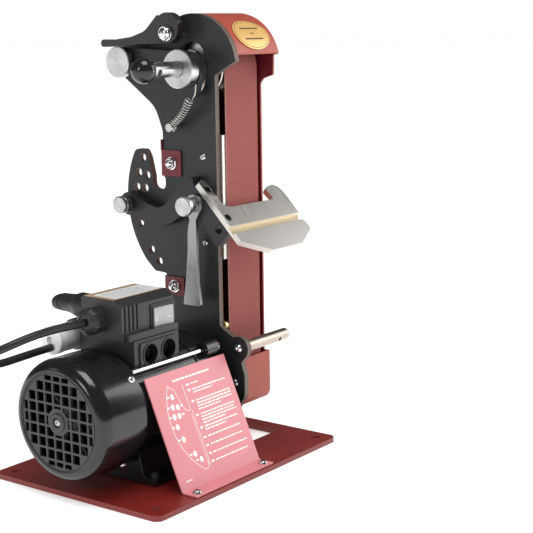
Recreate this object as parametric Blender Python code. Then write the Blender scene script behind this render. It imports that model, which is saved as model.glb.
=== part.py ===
"""Belt grinder: a vertical 50 mm belt on a flat side plate, a flange of motor
behind it, a swinging tool rest with index holes, and a lift lever that slackens the belt.

Lengths below are in millimetres; MM turns them into metres when a mesh is made.
X runs along the motor shaft, from the motor to the belt. Y runs to the back. Z is up.
The origin is the middle of the base plate's underside.
"""
import math

import bmesh
import bpy
from mathutils import Matrix, Vector

MM = 0.001
GAP = 0.3                       # clear space between pieces that touch

# ---------------------------------------------------------------- driving sizes
BASE = (280.0, 210.0, 5.0)      # length, depth, thickness
BASE_HOLE = (125.0, 89.0, 4.5)  # corner hole places and radius
BASE_SLOT = (62.0, 122.0, -42.0, 38.0)
PLATE_X = (47.0, 53.0)          # side plate's two faces
PLATE_FRONT = -27.0
PLATE_REAR = 41.0
BELT_WIDTH = 50.0
BELT_THICK = 1.2
BELT_X = 58.4                   # left edge of the belt
TOP_AXIS = (-1.0, 383.5)        # top wheel axis, as Y and Z
TOP_RADIUS = 28.5
DRIVE_AXIS = (3.2, 75.5)        # motor axis, as Y and Z
DRIVE_RADIUS = 32.7
HEAD_RADIUS = 52.0              # side plate's head and hood, about the top axis
COVER_RIGHT = 118.5
SHEET = 2.0                     # cover sheet
COVER_BACK = 43.3
BADGE_ANGLE = 142.0             # badge's middle, about the top axis from the rear
TAB_UPPER = (277.0, 303.0)      # cover tabs, as Z ranges
TAB_LOWER = (156.0, 175.0)
TAB_NUT_Y = 28.8
ARM_PIVOT = (77.0, 389.0)       # tension arm's rear pivot
ARM_X = (34.3, 40.0)
LEVER_PIVOT = (16.0, 417.0)
LEVER_X = (28.0, 36.7)
CAM_OFFSET = 5.0
SPRING_ANCHOR = (20.5, 326.6)
REST_PIVOT = (-10.0, 253.0)     # tool rest arm's pivot
REST_TILT = 46.0                # slope of the rest below level, degrees
REST_RISE = 17.9                # rest's top face above the pivot, square to the face
REST_BACK = 12.9                # rest's rear edge behind the pivot, along the slope
REST_THICK = 6.0
REST_ARM_X = (34.7, 44.9)
INDEX_RADIUS = 88.6
INDEX_HOLE = 4.4
INDEX_ANGLES = (27.3, 16.6, 6.8, -3.6, -17.2, -36.8, -46.6)
INNER_INDEX = ((77.5, 17.4), (77.5, 7.2))
INDEX_PIN = -3.6
POST = (-50.0, 110.6)           # tool post axis
POST_END = 126.0
FAN_COVER_RADIUS = 57.6
FAN_COVER_X = (-151.2, -94.0)
GRILLE_X = -150.0
BODY_RADIUS = 52.0
BODY_X = (-94.7, -4.3)
SHIELD_END = 25.0
TIE_ROD = (56.0, 134.5)         # pitch radius and angle
TERMINAL_X = (-84.0, -22.0)
CONTROL_X = (-92.0, -20.0)
CONTROL_Y = (-25.0, 25.0)
CONTROL_Z = (141.7, 179.5)
ROCKER = (-36.4, -25.0, 155.2)  # rocker pivot
GLAND = (5.5, 159.5)
CAPACITOR = (58.0, 134.3, 14.0) # Y, Z and radius
CONNECTOR = (-75.0, 166.0)      # X and Z of the mains connector at the box's back
LEAD_RADIUS = 3.7
CORD_RADIUS = 3.5
COIL = (102.0, 171.0, 42.0)     # X, Y and the middle radius of its turns
BUNDLE = (11.3, 7.6)            # half the width and half the height of the bundled turns
BOOT_BEND = (-75.0, 62.0, 166.3, 28.0)  # where the strain relief starts to bend, and the bend's radius
PLUG_TAIL = (151.8, 142.2, 4.8, 40.0, -14.4)   # X, Y, Z, heading and tilt of the plug's tail

INFO_TOP = (-41.8, 107.2)
INFO_FOOT = (-85.0, 5.3)
INFO_X = (-84.5, 32.0)

# ---------------------------------------------------------------- materials
FINISH = {
    "plate_black": ((0.030, 0.030, 0.034), 0.45, 0.0),
    "cut_steel": ((0.16, 0.13, 0.11), 0.5, 0.7),
    "cover_red": ((0.36, 0.07, 0.035), 0.42, 0.0),
    "base_red": ((0.23, 0.035, 0.022), 0.38, 0.0),
    "info_red": ((0.55, 0.14, 0.15), 0.4, 0.0),
    "belt_grit": ((0.27, 0.085, 0.07), 0.95, 0.0),
    "brushed": ((0.62, 0.60, 0.57), 0.32, 1.0),
    "steel": ((0.55, 0.54, 0.52), 0.28, 1.0),
    "chrome": ((0.85, 0.85, 0.85), 0.08, 1.0),
    "cast": ((0.30, 0.30, 0.30), 0.42, 0.9),
    "gold": ((0.78, 0.50, 0.20), 0.35, 0.6),
    "gloss_black": ((0.010, 0.010, 0.011), 0.12, 0.0),
    "box_grey": ((0.045, 0.045, 0.048), 0.5, 0.0),
    "switch_grey": ((0.38, 0.38, 0.38), 0.4, 0.0),
    "white": ((0.80, 0.80, 0.80), 0.3, 0.0),
    "cord_black": ((0.020, 0.020, 0.022), 0.45, 0.0),
    "copper": ((0.50, 0.22, 0.10), 0.35, 0.9),
}
PARTS = None


def material(slot):
    """Return the named Principled material, made once."""
    found = bpy.data.materials.get(slot)
    if found:
        return found
    colour, rough, metal = FINISH[slot]
    made = bpy.data.materials.new(slot)
    made.use_nodes = True
    shader = made.node_tree.nodes["Principled BSDF"]
    shader.inputs["Base Color"].default_value = (*colour, 1.0)
    shader.inputs["Roughness"].default_value = rough
    shader.inputs["Metallic"].default_value = metal
    made.diffuse_color = (*colour, 1.0)
    return made


# ---------------------------------------------------------------- outlines
def arc(centre, radius, start, stop, steps=10):
    """Points on an arc, with angles in degrees from +Y (or local X) towards +Z."""
    angles = [math.radians(start + (stop - start) * i / steps) for i in range(steps + 1)]
    return [(centre[0] + radius * math.cos(a), centre[1] + radius * math.sin(a)) for a in angles]


def polar(centre, radius, angle):
    """One point at an angle and distance from a centre."""
    a = math.radians(angle)
    return (centre[0] + radius * math.cos(a), centre[1] + radius * math.sin(a))


def rounded(corners, steps=5, closed=True):
    """An outline whose corners, given as (a, b) or (a, b, radius), are filleted."""
    points = []
    count = len(corners)
    for i, corner in enumerate(corners):
        here = Vector(corner[:2])
        radius = corner[2] if len(corner) > 2 else 0.0
        at_end = not closed and i in (0, count - 1)
        if radius == 0.0 or at_end:
            points.append(tuple(here))
            continue
        before = (Vector(corners[i - 1][:2]) - here)
        after = (Vector(corners[(i + 1) % count][:2]) - here)
        half = before.angle(after) / 2
        reach = min(radius / math.tan(half), before.length * 0.499, after.length * 0.499)
        radius = reach * math.tan(half)
        middle = here + (before.normalized() + after.normalized()).normalized() * (radius / math.sin(half))
        first = here + before.normalized() * reach - middle
        sweep = first.angle_signed(here + after.normalized() * reach - middle)
        for k in range(steps + 1):
            turn = -sweep * k / steps
            spun = Matrix.Rotation(turn, 2) @ first
            points.append(tuple(middle + spun))
    return points


def circle(centre, radius, steps=16):
    """A round outline."""
    return arc(centre, radius, 0.0, 360.0, steps)[:-1]


def ribbon(path, thick):
    """A closed outline of a bent sheet, thick on the left of an open path."""
    left = []
    for i, point in enumerate(path):
        here = Vector(point)
        ahead = (Vector(path[min(i + 1, len(path) - 1)]) - here)
        behind = (here - Vector(path[max(i - 1, 0)]))
        along = (ahead.normalized() + behind.normalized()).normalized()
        side = Vector((-along.y, along.x))
        bend = ahead if ahead.length else behind
        square = Vector((-bend.normalized().y, bend.normalized().x))
        left.append(tuple(here + side * thick / max(side.dot(square), 0.3)))
    return list(path) + left[::-1]


def belt_outline(offset):
    """The belt's path round both wheels, moved outwards by an offset."""
    top, drive = Vector(TOP_AXIS), Vector(DRIVE_AXIS)
    line = top - drive
    lean = math.asin((DRIVE_RADIUS - TOP_RADIUS) / line.length)
    back = math.degrees(math.atan2(line.y, line.x) - math.pi / 2 + lean)
    upper = arc(TOP_AXIS, TOP_RADIUS + offset, back, 180.0, 24)
    lower = arc(DRIVE_AXIS, DRIVE_RADIUS + offset, 180.0, 360.0 + back, 28)
    return upper + lower


# ---------------------------------------------------------------- solids
def link(name, mesh, slot, location=(0, 0, 0)):
    """Make an object from a mesh in millimetres and put it in the parts collection."""
    mesh.transform(Matrix.Scale(MM, 4))
    obj = bpy.data.objects.new(name, mesh)
    obj.location = Vector(location) * MM
    mesh.materials.append(material(slot))
    PARTS.objects.link(obj)
    return obj


def mesh_from(bm, name, merge=0.01):
    """Close a bmesh into a clean mesh with outward normals."""
    bmesh.ops.remove_doubles(bm, verts=bm.verts, dist=merge)
    bmesh.ops.recalc_face_normals(bm, faces=bm.faces)
    mesh = bpy.data.meshes.new(name)
    bm.to_mesh(mesh)
    bm.free()
    return mesh


YZ = Matrix(((0, 0, 1, 0), (1, 0, 0, 0), (0, 1, 0, 0), (0, 0, 0, 1)))   # local x, y, z to Y, Z, X
XZ = Matrix(((1, 0, 0, 0), (0, 0, -1, 0), (0, 1, 0, 0), (0, 0, 0, 1)))  # local x, y, z to X, Z, -Y
XY = Matrix.Identity(4)


def slab_mesh(name, outlines, low, high, plane=YZ):
    """A flat piece: outlines (the first outside, the rest holes) extruded from low to high."""
    curve = bpy.data.curves.new(name, "CURVE")
    curve.dimensions = "2D"
    curve.fill_mode = "BOTH"
    curve.extrude = (high - low) / 2
    for outline in outlines:
        spline = curve.splines.new("POLY")
        spline.points.add(len(outline) - 1)
        for point, (a, b) in zip(spline.points, outline):
            point.co = (a, b, 0.0, 1.0)
        spline.use_cyclic_u = True
    holder = bpy.data.objects.new(name + "_curve", curve)
    mesh = bpy.data.meshes.new_from_object(holder)
    bpy.data.objects.remove(holder)
    bpy.data.curves.remove(curve)
    bm = bmesh.new()
    bm.from_mesh(mesh)
    bpy.data.meshes.remove(mesh)
    bmesh.ops.remove_doubles(bm, verts=bm.verts, dist=0.005)
    bm.transform(plane @ Matrix.Translation((0, 0, (low + high) / 2)))
    return mesh_from(bm, name, 0.005)


def slab(name, outlines, low, high, slot, plane=YZ):
    """A flat piece as an object."""
    return link(name, slab_mesh(name, outlines, low, high, plane), slot)


def turned_mesh(name, profile, steps=32):
    """A turned piece about X: profile is (x, radius) pairs, closed back to its start."""
    bm = bmesh.new()
    verts = [bm.verts.new((x, 0.0, max(r, 0.0))) for x, r in profile]
    edges = [bm.edges.new((verts[i], verts[(i + 1) % len(verts)])) for i in range(len(verts))]
    edges = [e for e in edges if max(e.verts[0].co.z, e.verts[1].co.z) > 1e-6]
    bmesh.ops.spin(bm, geom=verts + edges, cent=(0, 0, 0), axis=(1, 0, 0),
                   angle=math.tau, steps=steps, use_merge=True)
    loose = [v for v in bm.verts if not v.link_faces]
    bmesh.ops.delete(bm, geom=loose, context="VERTS")
    return mesh_from(bm, name, 0.005)


def turned(name, profile, slot, axis, steps=32):
    """A turned piece whose axis is parallel to X at (Y, Z)."""
    return link(name, turned_mesh(name, profile, steps), slot, (0.0, axis[0], axis[1]))


def box_mesh(name, low, high, bevel=0.0, steps=2):
    """A block between two corners, its edges rounded when bevel is given."""
    bm = bmesh.new()
    size = Vector(high) - Vector(low)
    bmesh.ops.create_cube(bm, size=1.0)
    bmesh.ops.scale(bm, vec=size, verts=bm.verts)
    bmesh.ops.translate(bm, vec=(Vector(high) + Vector(low)) / 2, verts=bm.verts)
    if bevel:
        bmesh.ops.bevel(bm, geom=bm.edges, offset=bevel, segments=steps, affect="EDGES", profile=0.5)
    return mesh_from(bm, name, 0.002)


def rod_mesh(name, start, end, radius, steps=20, radius_end=None):
    """A plain or tapered rod between two points."""
    bm = bmesh.new()
    along = Vector(end) - Vector(start)
    bmesh.ops.create_cone(bm, cap_ends=True, segments=steps, radius1=radius,
                          radius2=radius if radius_end is None else radius_end, depth=along.length)
    turn = along.to_track_quat("Z", "Y").to_matrix().to_4x4()
    bm.transform(Matrix.Translation((Vector(start) + Vector(end)) / 2) @ turn)
    return mesh_from(bm, name, 0.002)


def combine(obj, mesh, operation):
    """Cut a mesh (in millimetres) from an object, or weld it on, and keep the result."""
    mesh.transform(Matrix.Scale(MM, 4))
    tool = bpy.data.objects.new(obj.name + "_tool", mesh)
    tool.location = obj.location
    bpy.context.scene.collection.objects.link(tool)
    modifier = obj.modifiers.new("combine", "BOOLEAN")
    modifier.operation = operation
    modifier.solver = "EXACT"
    modifier.object = tool
    bpy.context.view_layer.update()
    result = bpy.data.meshes.new_from_object(obj.evaluated_get(bpy.context.evaluated_depsgraph_get()))
    obj.modifiers.remove(modifier)
    obj.data = result
    bpy.data.objects.remove(tool)
    tidy(obj)
    return obj


def tidy(obj, merge=0.00001):
    """Merge doubled points left by a cut, and flatten needless ones."""
    bm = bmesh.new()
    bm.from_mesh(obj.data)
    bmesh.ops.remove_doubles(bm, verts=bm.verts, dist=merge)
    bmesh.ops.dissolve_limit(bm, angle_limit=math.radians(0.5), verts=bm.verts, edges=bm.edges)
    bmesh.ops.triangulate(bm, faces=bm.faces)
    bm.to_mesh(obj.data)
    bm.free()


def cut(obj, mesh):
    """Cut a shape out of an object."""
    return combine(obj, mesh, "DIFFERENCE")


def weld(obj, mesh):
    """Join a shape to an object as one solid."""
    return combine(obj, mesh, "UNION")


def tube_curve(name, points, radius, ring=2, taper=None):
    """A round tube curve along a chain of points, with filled ends."""
    curve = bpy.data.curves.new(name, "CURVE")
    curve.dimensions = "3D"
    curve.bevel_depth = radius
    curve.bevel_resolution = ring
    curve.use_fill_caps = True
    spline = curve.splines.new("POLY")
    spline.points.add(len(points) - 1)
    for i, (target, source) in enumerate(zip(spline.points, points)):
        target.co = (*source, 1.0)
        target.radius = taper[i] if taper else 1.0
    return curve


def tube_mesh(name, points, radius, ring=2, taper=None):
    """The same tube as a closed mesh."""
    curve = tube_curve(name, points, radius, ring, taper)
    holder = bpy.data.objects.new(name + "_curve", curve)
    mesh = bpy.data.meshes.new_from_object(holder)
    bpy.data.objects.remove(holder)
    bpy.data.curves.remove(curve)
    bm = bmesh.new()
    bm.from_mesh(mesh)
    bpy.data.meshes.remove(mesh)
    return mesh_from(bm, name, 0.005)


def cord(name, points, radius, slot):
    """A free cord: a round tube curve, kept as a curve."""
    curve = tube_curve(name, [Vector(p) * MM for p in points], radius * MM)
    curve.materials.append(material(slot))
    obj = bpy.data.objects.new(name, curve)
    PARTS.objects.link(obj)
    return obj


def even(chain, spacing):
    """The same path with points an even distance apart."""
    lengths = [0.0]
    for a, b in zip(chain, chain[1:]):
        lengths.append(lengths[-1] + (b - a).length)
    count = max(2, round(lengths[-1] / spacing))
    result, k = [], 0
    for i in range(count + 1):
        want = lengths[-1] * i / count
        while k < len(chain) - 2 and lengths[k + 1] < want:
            k += 1
        share = (want - lengths[k]) / (lengths[k + 1] - lengths[k])
        result.append(chain[k].lerp(chain[k + 1], min(max(share, 0.0), 1.0)))
    return result


def smooth_path(points, per=6):
    """A Catmull-Rom chain through hand-placed points."""
    pts = [Vector(p) for p in points]
    pts = [pts[0] * 2 - pts[1]] + pts + [pts[-1] * 2 - pts[-2]]
    chain = []
    for i in range(1, len(pts) - 2):
        a, b, c, d = pts[i - 1:i + 3]
        for k in range(per):
            t = k / per
            chain.append(0.5 * (2 * b + (c - a) * t + (2 * a - 5 * b + 4 * c - d) * t * t
                                + (3 * b - a - 3 * c + d) * t ** 3))
    chain.append(pts[-2])
    return chain


def hexagon(centre, across):
    """A hexagon by its width across flats."""
    return arc(centre, across / 2 / math.cos(math.radians(30)), 0.0, 360.0, 6)[:-1]


def attach(obj, empty):
    """Hang a piece on a joint's empty without moving it."""
    obj.parent = empty
    obj.matrix_parent_inverse = empty.matrix_world.inverted()


def joint_empty(name, location, parent=None):
    """An empty on a joint's axis."""
    empty = bpy.data.objects.new(name, None)
    empty.location = Vector(location) * MM
    empty.empty_display_size = 0.02
    PARTS.objects.link(empty)
    bpy.context.view_layer.update()
    if parent:
        attach(empty, parent)
        bpy.context.view_layer.update()
    return empty


def screw(name, slot, axis, head_x, head_radius, head_height, shank_radius, end_x, steps=12):
    """A round-headed screw parallel to X, its head on the low-X side."""
    top = head_x - head_height
    profile = [(top, 0.0), (top, head_radius * 0.7), (top + head_height * 0.45, head_radius),
               (head_x, head_radius), (head_x, shank_radius), (end_x, shank_radius), (end_x, 0.0)]
    return turned(name, profile, slot, axis, steps)


# ---------------------------------------------------------------- frame
def make_base():
    """Base plate with corner holes and the dust slot under the belt."""
    half_x, half_y = BASE[0] / 2, BASE[1] / 2
    outside = rounded([(-half_x, -half_y, 8), (half_x, -half_y, 8), (half_x, half_y, 8), (-half_x, half_y, 8)])
    x, y, r = BASE_HOLE
    holes = [circle((sx * x, sy * y), r, 16) for sx in (-1, 1) for sy in (-1, 1)]
    left, right, front, back = BASE_SLOT
    slot = rounded([(left, front, 4), (right, front, 4), (right, back, 4), (left, back, 4)], 3)
    slab("base_plate", [outside, slot] + holes, 0.0, BASE[2], "base_red", XY)


def side_plate_outline():
    """Side plate: foot, post lobe, straight front, round head, rear lobe and index quadrant."""
    low = BASE[2] + GAP
    front = rounded([(PLATE_REAR - 1, low), (-48.3, low, 2), (-48.3, 49, 14), (-57.4, 62, 16), (-57.4, 84, 16),
                     (-53.2, 96, 4), polar(POST, 12, 234)], closed=False)[1:-1]
    lobe = arc(POST, 12.0, 234, 60, 12)
    neck = rounded([lobe[-1], (-32, 127.4, 9), (PLATE_FRONT, 131, 4), (PLATE_FRONT, 377.5, 3),
                    (-52.8, 391.0, 1.5), polar(TOP_AXIS, HEAD_RADIUS, 170)], closed=False)[1:-1]
    head = arc(TOP_AXIS, HEAD_RADIUS, 170, 62, 20)
    shoulder = rounded([head[-1], (46, 414, 30), polar(ARM_PIVOT, 20, 96)], closed=False)[1:-1]
    rear = arc(ARM_PIVOT, 20.0, 96, -58, 14)
    waist = rounded([rear[-1], (50, 345, 30), (PLATE_REAR, 322, 20), (PLATE_REAR, 277), (39, 274, 2),
                     (39, 262.8, 7), (55.4, 262.8, 7), (55.8, 276, 10), (60.4, 295, 10), (64.4, 302.3, 4),
                     (78, 302.3, 9), polar(REST_PIVOT, 100.8, 24)], closed=False)[1:-1]
    quadrant = arc(REST_PIVOT, 100.8, 24, -40, 16)
    heel = rounded([quadrant[-1], (56.2, 178.2, 6), (PLATE_REAR, 177.6, 3), (PLATE_REAR, low, 2),
                    (PLATE_REAR - 10, low)], closed=False)[1:-1]
    return front + lobe + neck + head + shoulder + rear + waist + quadrant + heel


def make_side_plate():
    """Side plate with the axle window, index holes and fastener holes."""
    window = rounded([(-16, 358, 17), (19, 358, 17), (19, 409, 17), (-16, 409, 17)], 6)
    holes = [window, circle(DRIVE_AXIS, 14.0, 24), circle(REST_PIVOT, 5.3),
             circle(LEVER_PIVOT, 4.3, 16), circle(ARM_PIVOT, 5.3), circle(POST, 3.3, 12),
             circle(SPRING_ANCHOR, 2.8, 12), circle((TAB_NUT_Y, sum(TAB_UPPER) / 2), 3.3, 12),
             circle((TAB_NUT_Y, sum(TAB_LOWER) / 2), 3.3, 12), circle((-45.0, 74.4), 2.8, 12)]
    holes += [circle(polar(REST_PIVOT, INDEX_RADIUS, a), INDEX_HOLE, 12) for a in INDEX_ANGLES]
    holes += [circle(polar(REST_PIVOT, r, a), INDEX_HOLE, 12) for r, a in INNER_INDEX]
    slab("side_plate", [side_plate_outline()] + holes, *PLATE_X, "plate_black")
    low = BASE[2] + GAP
    right = PLATE_X[0] - GAP
    bend = ribbon(rounded([(14, low), (right, low, 8), (right, 40)], 4, False), 5.0)
    slab("foot_bracket", [bend], -38.0, 44.0, "plate_black", XZ)


def make_back_cover():
    """Sheet cover round the belt's top, back and right side, with two tabs on the side plate."""
    left = PLATE_X[1] + GAP
    turn = math.degrees(math.acos((COVER_BACK - TOP_AXIS[0]) / HEAD_RADIUS))
    hood = arc(TOP_AXIS, HEAD_RADIUS, 164.0, turn, 18)
    front = rounded([(COVER_BACK, 40), (-12.4, 40), (-12.4, 42.8, 1), (-29, 58, 3), (-29, 367, 6), (-33.3, 372, 6), (-45, 375.5, 2),
                     (-45.5, 395.6, 2), (-50.2, 395.6, 1), hood[0]], 3, False)[1:-1]
    cover = slab("back_cover", [[(COVER_BACK, 40.0)] + front + hood], left, COVER_RIGHT, "cover_red")
    inner = arc(TOP_AXIS, HEAD_RADIUS - SHEET, 165.0, turn, 18)
    cavity = [(-90, 20), (COVER_BACK - SHEET, 20), (COVER_BACK - SHEET, inner[-1][1])]
    cavity += inner[::-1][1:] + [(-90, inner[0][1])]
    cut(cover, slab_mesh("cavity", [cavity], left - 5, COVER_RIGHT - SHEET))
    for low, high in (TAB_UPPER, TAB_LOWER):
        face = PLATE_X[0] - GAP
        inner, outer = COVER_BACK - SHEET + 0.1, COVER_BACK - 0.1
        bend = rounded([(left + 3, inner), (face, inner), (face, 17), (face - 1.5, 17), (face - 1.5, outer, 2),
                        (left + 3, outer)], 3)
        weld(cover, slab_mesh("tab", [bend], low, high, XY))
        if low == TAB_UPPER[0]:
            strip = rounded([(left + 3, inner), (face - 1.5, inner), (face - 1.5, outer, 1.2), (left + 3, outer)], 3)
            weld(cover, slab_mesh("strip", [strip], high - 0.5, high + 10, XY))
        middle = (low + high) / 2
        cut(cover, rod_mesh("tab_hole", (40, TAB_NUT_Y, middle), (50, TAB_NUT_Y, middle), 3.3, 12))
    for name, zone in (("cover_nut_upper", TAB_UPPER), ("cover_nut_lower", TAB_LOWER)):
        seat = PLATE_X[0] - GAP - SHEET - 0.1
        profile = [(seat - 8, 0.0), (seat - 7.4, 2.6), (seat - 5.6, 4.4), (seat - 4.6, 5.9), (seat - 0.4, 5.9),
                   (seat - 0.4, 6.3), (seat - 0.1, 6.3), (seat - 0.1, 3.0), (PLATE_X[1], 3.0), (PLATE_X[1], 0.0)]
        turned(name, profile, "chrome", (TAB_NUT_Y, sum(zone) / 2), 12)


def make_lower_cover():
    """Front cover over the drive wheel: bent sheet, right cheek and left flange."""
    left, right = PLATE_X[1] + GAP, COVER_RIGHT
    sheet = ribbon(rounded([(-35.4, 92.4), (-35.4, 40, 20), (-13, 40)], 6, False), SHEET)
    cover = slab("lower_cover", [sheet], left, right, "cover_red")
    cheek = [(-34.4, 92.3), (-29.3, 92.3), (-29.3, 47.0), (-32.2, 51.2), (-34.4, 58.0)]
    weld(cover, slab_mesh("cheek", [cheek], right - SHEET, right - 0.001))
    flange = rounded([(-53, 58, 4), (-34.5, 58), (-34.5, 92.3), (-53, 92.3, 4)], 3)
    weld(cover, slab_mesh("flange", [flange, circle((-45.0, 74.4), 2.8, 12)], left + 0.001, left + SHEET))
    screw("lower_cover_screw", "steel", (-45.0, 74.4), PLATE_X[0] - 0.1, 4.2, 2.4, 2.4, left + SHEET)


def make_badge():
    """Oval badge bent to the hood."""
    ring = arc(TOP_AXIS, HEAD_RADIUS + 1.1, BADGE_ANGLE + 24, BADGE_ANGLE - 24, 14)
    ring += arc(TOP_AXIS, HEAD_RADIUS + GAP, BADGE_ANGLE - 24, BADGE_ANGLE + 24, 14)
    badge = slab("badge", [ring], 56.0, 116.0, "gold")
    middle = (PLATE_X[1] + COVER_RIGHT) / 2
    oval = [(26.0 * math.cos(a), 17.0 * math.sin(a)) for a in [math.tau * i / 28 for i in range(24)]]
    cutter = slab_mesh("oval", [oval], 0.0, 80.0, XY)
    cutter.transform(Matrix.Translation((middle, TOP_AXIS[0], TOP_AXIS[1]))
                     @ Matrix.Rotation(math.radians(BADGE_ANGLE - 90), 4, "X"))
    return combine(badge, cutter, "INTERSECT")


# ---------------------------------------------------------------- belt and wheels
def make_belt():
    """The closed abrasive belt, its platen and the platen's angle bracket."""
    slab("belt", [belt_outline(BELT_THICK + GAP), belt_outline(GAP)], BELT_X, BELT_X + BELT_WIDTH, "belt_grit")
    front = TOP_AXIS[0] - TOP_RADIUS
    left = PLATE_X[1] + GAP
    slab("platen", [rounded([(front, 197, 1), (front + 5, 197), (front + 5, 320), (front, 320, 1)], 2)],
         left, 110.0, "brushed")
    bend = ribbon(rounded([(left, 3), (left, front + 5 + GAP, 6.5), (102, front + 5 + GAP)], 3, False), 5.0)
    slab("platen_bracket", [bend], 208.0, 315.0, "plate_black", XY)


def wheel_profile(left, right, radius, bore, crown=0.5):
    """A crowned belt wheel with recessed faces."""
    return [(left, radius - crown - 1), (left + 1, radius - crown), ((left + right) / 2, radius - 0.1),
            (right - 1, radius - crown), (right, radius - crown - 1), (right, radius - 6), (right - 5, radius - 8),
            (right - 5, bore), (left + 5, bore), (left + 5, radius - 8), (left, radius - 6)]


def make_wheels(drive_joint, wheel_joint):
    """Drive wheel on the motor shaft, and the top wheel on two ball bearings."""
    drive = turned("drive_wheel", wheel_profile(57.5, 109.5, DRIVE_RADIUS, 7.2), "cast", DRIVE_AXIS, 30)
    attach(drive, drive_joint)
    left, right = 57.5, 109.5
    crown = TOP_RADIUS - 0.3
    profile = [(left, 14.0), (left, crown - 1.3), (left + 1, crown - 0.4),
               ((left + right) / 2, crown), (right - 1, crown - 0.4), (right, crown - 1.3),
               (right, 14.0), (right - 10, 14.0), (right - 10, 9.0), (left + 10, 9.0), (left + 10, 14.0)]
    pieces = [turned("top_wheel", profile, "brushed", TOP_AXIS, 30)]
    for name, start in (("top_wheel_bearing_left", left + 1.5), ("top_wheel_bearing_right", right - 9.7)):
        ring = [(start, 5.3), (start, 13.7), (start + 8, 13.7), (start + 8, 5.3)]
        pieces.append(turned(name, ring, "steel", TOP_AXIS, 18))
    for piece in pieces:
        attach(piece, wheel_joint)


def make_head(arm_joint, shaft_joint, lever_joint, knob_joint):
    """Tension arm, axle with ball and collar, tracking knob, lift lever and spring."""
    front = rounded([(66, 402.9), (-19.5, 398.8, 12), (-19.5, 374, 30), (-13.5, 356.5, 5), (4, 356.5, 7),
                     (14, 371, 6), (68, 375)], closed=False)[1:-1]
    rear = arc(ARM_PIVOT, 14.2, -106, 92, 14)
    holes = [circle(TOP_AXIS, 7.8, 24), circle(ARM_PIVOT, 5.3)]
    attach(slab("tension_arm", [front + rear] + holes, *ARM_X, "plate_black"), arm_joint)
    spacer = [(ARM_X[1] + GAP, 7.8), (ARM_X[1] + GAP, 17.0), (ARM_X[1] + 1, 17.6), (PLATE_X[0] - 0.4, 17.6),
              (PLATE_X[0] - 0.4, 7.8)]
    attach(turned("spacer_ring", spacer, "brushed", TOP_AXIS, 24), arm_joint)
    axle = [(-21, 0), (-21, 7.5), (55, 7.5), (57, 5), (108.1, 5), (108.1, 8), (111, 8), (112, 7), (112, 0)]
    axle = turned("top_axle", axle, "steel", TOP_AXIS, 18)
    cut(axle, rod_mesh("cross_hole", (-10, -20, -6), (-10, 20, 6), 3.0, 12))
    attach(axle, shaft_joint)
    ball = [(-25 - 12 * math.cos(a), 12 * math.sin(a)) for a in [math.radians(130 * i / 9) for i in range(10)]]
    ball += [(ball[-1][0], 7.8), (-21.4, 7.8), (-21.4, 0.0)]
    attach(turned("ball_knob", ball, "gloss_black", TOP_AXIS, 20), shaft_joint)
    collar = [(22, 7.8), (22, 17.7), (22.8, 18.5), (33.2, 18.5), (34, 17.7), (34, 7.8)]
    attach(turned("shaft_collar", collar, "brushed", TOP_AXIS, 26), shaft_joint)
    knob = [(23, 0), (23, 14.4), (23.7, 15.1), (30.4, 15.1), (31, 14.5), (31, 8), (ARM_X[0] - GAP, 8),
            (ARM_X[0] - GAP, 5), (PLATE_X[1], 5), (PLATE_X[1], 0)]
    attach(turned("tracking_knob", knob, "brushed", ARM_PIVOT, 24), knob_joint)
    make_lever(lever_joint)
    make_spring()


def make_lever(lever_joint):
    """Cam lever: an off-centre round hub and a long handle to the rear, with its bolt."""
    hub = (LEVER_PIVOT[0], LEVER_PIVOT[1] + CAM_OFFSET)
    upper = rounded([hub, (28, 434), (44, 419, 20), (62, 413.5, 30), (84, 410.8), (102, 411, 3.6),
                     (102.8, 403.6, 3.6), (76, 404.2), (50, 406.6), hub], closed=False)[1:-1]
    edge = arc(hub, 14.5, -84, -312, 22)
    handle = slab("lift_lever", [upper + edge, circle(LEVER_PIVOT, 4.3, 16)], *LEVER_X, "gloss_black")
    attach(handle, lever_joint)
    seat = LEVER_X[0] - 0.2
    profile = [(seat - 7, 0), (seat - 6.6, 3.2), (seat - 4.8, 5.6), (seat - 2, 7.2), (seat, 7.4), (seat, 4.0),
               (LEVER_X[1] + 0.2, 4.0), (LEVER_X[1] + 0.2, 7.0), (PLATE_X[0] - 0.2, 7.0),
               (PLATE_X[0] - 0.2, 4.0), (PLATE_X[1], 4.0), (PLATE_X[1], 0)]
    turned("lever_bolt", profile, "chrome", LEVER_PIVOT, 14)


def spring_path():
    """Centre line of the tension spring: hook, bowed coil, then straight wire to the collar."""
    start, end = Vector((35.6, 16.8, 330.4)), Vector((28.9, -10.4, 355.4))
    turns, per = 12, 7
    along = (end - start).normalized()
    out = Vector((1, 0, 0))
    across = along.cross(out).normalized()
    points = [Vector((37.0, SPRING_ANCHOR[0] - 0.2, SPRING_ANCHOR[1] + 3.5)), start - along * 1.2 + across * -2.6]
    for i in range(turns * per + 1):
        share = i / (turns * per)
        angle = math.tau * i / per
        bow = 2.3 * math.sin(math.pi * share)
        centre = start.lerp(end, share) + across * -bow
        points.append(centre + (out * math.cos(angle) + across * math.sin(angle)) * 4.2)
    points += [Vector((33.0, -13.4, 358.6)), Vector((33.1, -14.2, 362.0)), Vector((33.3, -14.9, 369.0))]
    return points


def make_spring():
    """Tension spring and the pin that anchors it to the side plate."""
    link("tension_spring", tube_mesh("tension_spring", spring_path(), 0.75, 0), "steel")
    y, z = SPRING_ANCHOR
    profile = [(32.4, 0), (32.4, 4.4), (34.6, 4.7), (34.9, 2.6), (39, 2.6), (39, 4.4), (PLATE_X[0] - GAP, 4.4),
               (PLATE_X[0] - GAP, 2.5), (PLATE_X[1], 2.5), (PLATE_X[1], 0)]
    turned("spring_anchor", profile, "steel", (y, z), 12)


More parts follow.
